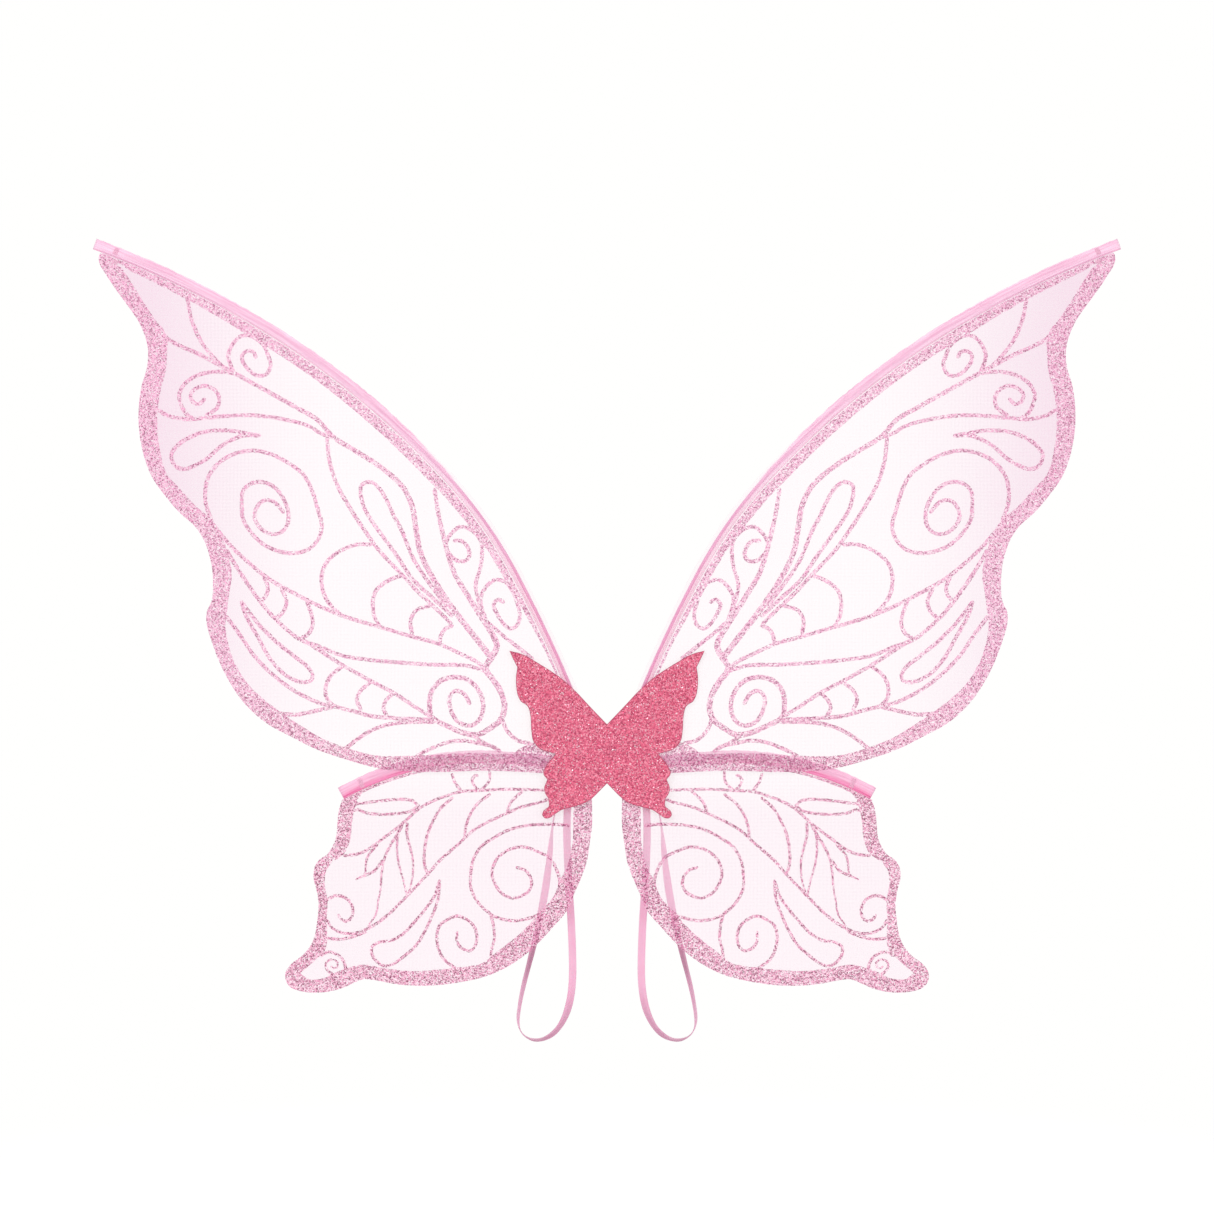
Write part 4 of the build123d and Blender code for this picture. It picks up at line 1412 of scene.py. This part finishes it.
def strap_end_pieces(side_name, side):
    """Two flat ends of elastic that come out under the pad, and the bars that hold them."""
    low, high = (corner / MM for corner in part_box(f"{side_name}_strap_ends"))
    ring = strap_ring()
    points = []
    across_values = []
    along_values = []
    faces = []
    bars = []
    for out in (strap_route[0][0], strap_route[-1][0]):
        base = len(points)
        heights = [high.z - k * (high.z - strap_route[0][2]) / 8 for k in range(9)]
        for up in heights:
            for across, thick in ring:
                depth = (low.y + high.y) / 2 + thick
                points.append(((side * out + across) * MM, depth * MM, up * MM))
                across_values.append(across)
                along_values.append(up)
        faces += [tuple(base + i for i in face) for face in tube_faces(len(heights), len(ring))]
        for drop in STRAP_BARS:
            for k in range(BAR_PASSES):
                bar_up = high.z - drop + (k - 4) * 0.4
                start = Vector((side * out - 2.4, low.y - 0.12, bar_up))
                end = Vector((side * out + 2.4, low.y - 0.12, bar_up + 0.2))
                bars.append(stitch_solid(start * MM, end * MM, THREAD * MM))
    ends = new_piece(f"{side_name}_sewn_strap_ends", points, faces, [elastic], "centre", smooth=True)
    store_values(ends, across=across_values, along=along_values)
    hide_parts(f"{side_name}_strap_ends")
    points, faces = gather(bars)
    tacks = new_piece(f"{side_name}_strap_zigzag", points, faces, [thread], "centre", smooth=True)
    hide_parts(f"{side_name}_strap_tacks")


for side_name, side in SIDES:
    strap_end_pieces(side_name, side)


# ---------------------------------------------------------------- foam butterfly
# Glitter foam sheet, 2.5 mm thick, die-cut to a butterfly and glued over the rods. It is one
# sheet: the two halves meet at the crease down its middle, and are built fixed in place.
CREASE_LOW, CREASE_HIGH = -24.0, 23.2
CREASE_STEPS = 16
FACE_GRID = 3.0              # between the points inside the butterfly's outline
FLAKES = 3600                # loose ones on each half
BUTTERFLY_EDGE = [
    [(0, 23.2), (12.3, 36), (26.5, 51), (38, 61), (56.5, 73), (68, 79.3), (78, 82)],
    [(78, 82), (75, 75.5), (71.6, 68.8)],
    [(71.6, 68.8), (72.7, 61), (72.2, 50.5), (71, 45.5), (68.7, 41.3)],
    [(68.7, 41.3), (63.4, 37.6), (61.2, 30), (60.6, 19.5), (58.8, 9.6), (53.7, 3.8), (41, -0.5)],
    [(41, -0.5), (48, -9), (50.9, -16), (47.7, -20.9)],
    [(47.7, -20.9), (50.2, -27.6), (49.4, -32), (46.9, -35.9)],
    [(46.9, -35.9), (46.6, -42.4), (50.6, -45.7), (51.8, -49.2), (49.2, -52), (45.8, -51.5), (36.6, -45.4),
     (26.6, -42.6), (18, -39.8), (12.3, -36.2), (0, -24)],
]


def glitter_foam():
    """EVA foam with a cast glitter face: rose flakes in every shade, each at its own tilt.

    Single flakes are finer than the view shows, so the cells are drawn 0.85 mm across."""
    material, tree = new_material("rose_glitter_eva_foam")
    place = place_socket(tree)
    flake_size = 0.85 * MM
    flakes = add_node(tree, "ShaderNodeTexVoronoi", {
        "Vector": place, "Scale": 1 / flake_size,
    }, feature="F1")
    pick = add_node(tree, "ShaderNodeSeparateColor", {0: flakes.outputs["Color"]})
    tones = ((0.0, "#B53E60"), (0.22, "#DE5C7C"), (0.5, "#F07391"), (0.8, "#FF9DB3"))
    skin = add_node(tree, "ShaderNodeBsdfPrincipled", {
        "Base Color": flake_tones(tree, pick.outputs[0], tones), "Metallic": 0.2, "Roughness": 0.42,
        "Normal": flake_tilt(tree, flakes, 0.8),
    })
    add_node(tree, "ShaderNodeOutputMaterial", {"Surface": skin.outputs[0]})
    return material


def plain_finish(name, code, metallic, roughness):
    """One even colour with a faint unevenness: metallised polyester flakes that stand out of
    the face and catch the light, or the matt cut edge of the foam."""
    material, tree = new_material(name)
    place = place_socket(tree)
    tone = add_node(tree, "ShaderNodeTexNoise", {"Vector": place, "Scale": 500.0})
    bump = add_node(tree, "ShaderNodeBump", {
        "Height": tone.outputs[0], "Strength": 0.1, "Distance": 0.0001,
    })
    skin = add_node(tree, "ShaderNodeBsdfPrincipled", {
        "Base Color": srgb(code), "Metallic": metallic, "Roughness": roughness, "Normal": bump.outputs[0],
    })
    add_node(tree, "ShaderNodeOutputMaterial", {"Surface": skin.outputs[0]})
    return material


foam_face = glitter_foam()
cut_edge = plain_finish("cut_eva_foam_edge", "#B8536F", 0.0, 0.9)
flake_materials = [
    plain_finish("rose_polyester_flake", "#D95C80", 0.6, 0.25),
    plain_finish("pale_polyester_flake", "#F7B3C6", 0.6, 0.25),
    plain_finish("silver_polyester_flake", "#FFF1F5", 0.6, 0.25),
]
cover_low, cover_high = (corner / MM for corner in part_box("left_cover_half"))
cover_front = -cover_low.y
cover_back = -cover_high.y


def inset_outline(outline, amount):
    """The outline moved inward, but never off the crease."""
    count = len(outline)
    moved = []
    for i, (out, up) in enumerate(outline):
        before = Vector(outline[i - 1])
        after = Vector(outline[(i + 1) % count])
        along = (after - before).normalized()
        normal = Vector((along.y, -along.x))
        here = Vector((out, up)) + normal * amount
        moved.append((0.0, up) if out < 0.01 else (max(0.0, here.x), here.y))
    return moved


def butterfly_half(side_name, side):
    """One half of the foam, with its face, its cut edge and the loose flakes on its face."""
    outline = smooth_edge(BUTTERFLY_EDGE, 1.5)
    crease = CREASE_HIGH - CREASE_LOW
    outline += [(0.0, CREASE_LOW + crease * k / CREASE_STEPS) for k in range(1, CREASE_STEPS)]
    profile = [          # inset from the outline and depth forward, in mm
        (0.55, cover_front), (0.18, cover_front - 0.14), (0.0, cover_front - 0.5),
        (0.0, cover_back + 0.4), (0.15, cover_back),
    ]
    rings = [inset_outline(outline, inset) for inset, _ in profile]
    count = len(outline)
    points = []
    for ring, (_, depth) in zip(rings, profile):
        points += [(side * out * MM, -depth * MM, up * MM) for out, up in ring]
    faces = tube_faces(len(profile), count, closed_ends=False)
    slots = [4] * len(faces)
    back_start = (len(profile) - 1) * count
    for ring, depth, offset in ((rings[0], cover_front, 0), (rings[-1], cover_back, back_start)):
        flat, triangles = cut_out([ring], FACE_GRID)
        lookup = {(round(out, 3), round(up, 3)): offset + i for i, (out, up) in enumerate(ring)}
        index = []
        for out, up in flat:
            key = (round(out, 3), round(up, 3))
            if key not in lookup:
                lookup[key] = len(points)
                points.append((side * out * MM, -depth * MM, up * MM))
            index.append(lookup[key])
        faces += [tuple(index[i] for i in tri) for tri in triangles]
    scatter = random.Random(17)
    slots += [0] * (len(faces) - len(slots))
    face_flat, face_triangles = cut_out([rings[0]], FACE_GRID)
    weights = [flat_area(face_flat, [tri]) for tri in face_triangles]
    for tri in scatter.choices(face_triangles, weights, k=FLAKES):
        a, b = scatter.random(), scatter.random()
        if a + b > 1:
            a, b = 1 - a, 1 - b
        p, q, r = (Vector(face_flat[i]) for i in tri)
        spot = p + (q - p) * a + (r - p) * b
        radius = scatter.uniform(0.22, 0.48)
        lean_x, lean_z = scatter.uniform(-0.35, 0.35), scatter.uniform(-0.35, 0.35)
        spin = scatter.uniform(0, math.pi)
        base = len(points)
        for k in range(6):
            angle = spin + math.pi * k / 3
            dx, dz = radius * math.cos(angle), radius * math.sin(angle)
            rise = 0.16 + dx * lean_x + dz * lean_z
            out = max(0.0, spot.x + dx)
            points.append((side * out * MM, -(cover_front + rise) * MM, (spot.y + dz) * MM))
        faces.append(tuple(range(base, base + 6)))
        slots.append(scatter.choices((1, 2, 3), (8, 3, 1))[0])
    piece = new_piece(
        f"{side_name}_butterfly_half", points, faces, [foam_face, *flake_materials, cut_edge], None, slots,
    )
    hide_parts(f"{side_name}_cover_half")
    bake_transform(piece)


for side_name, side in SIDES:
    butterfly_half(side_name, side)


boxes = {"cad": cad_box, "visual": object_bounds()}
rows = {name: [[float(v) for v in corner] for corner in box] for name, box in boxes.items()}
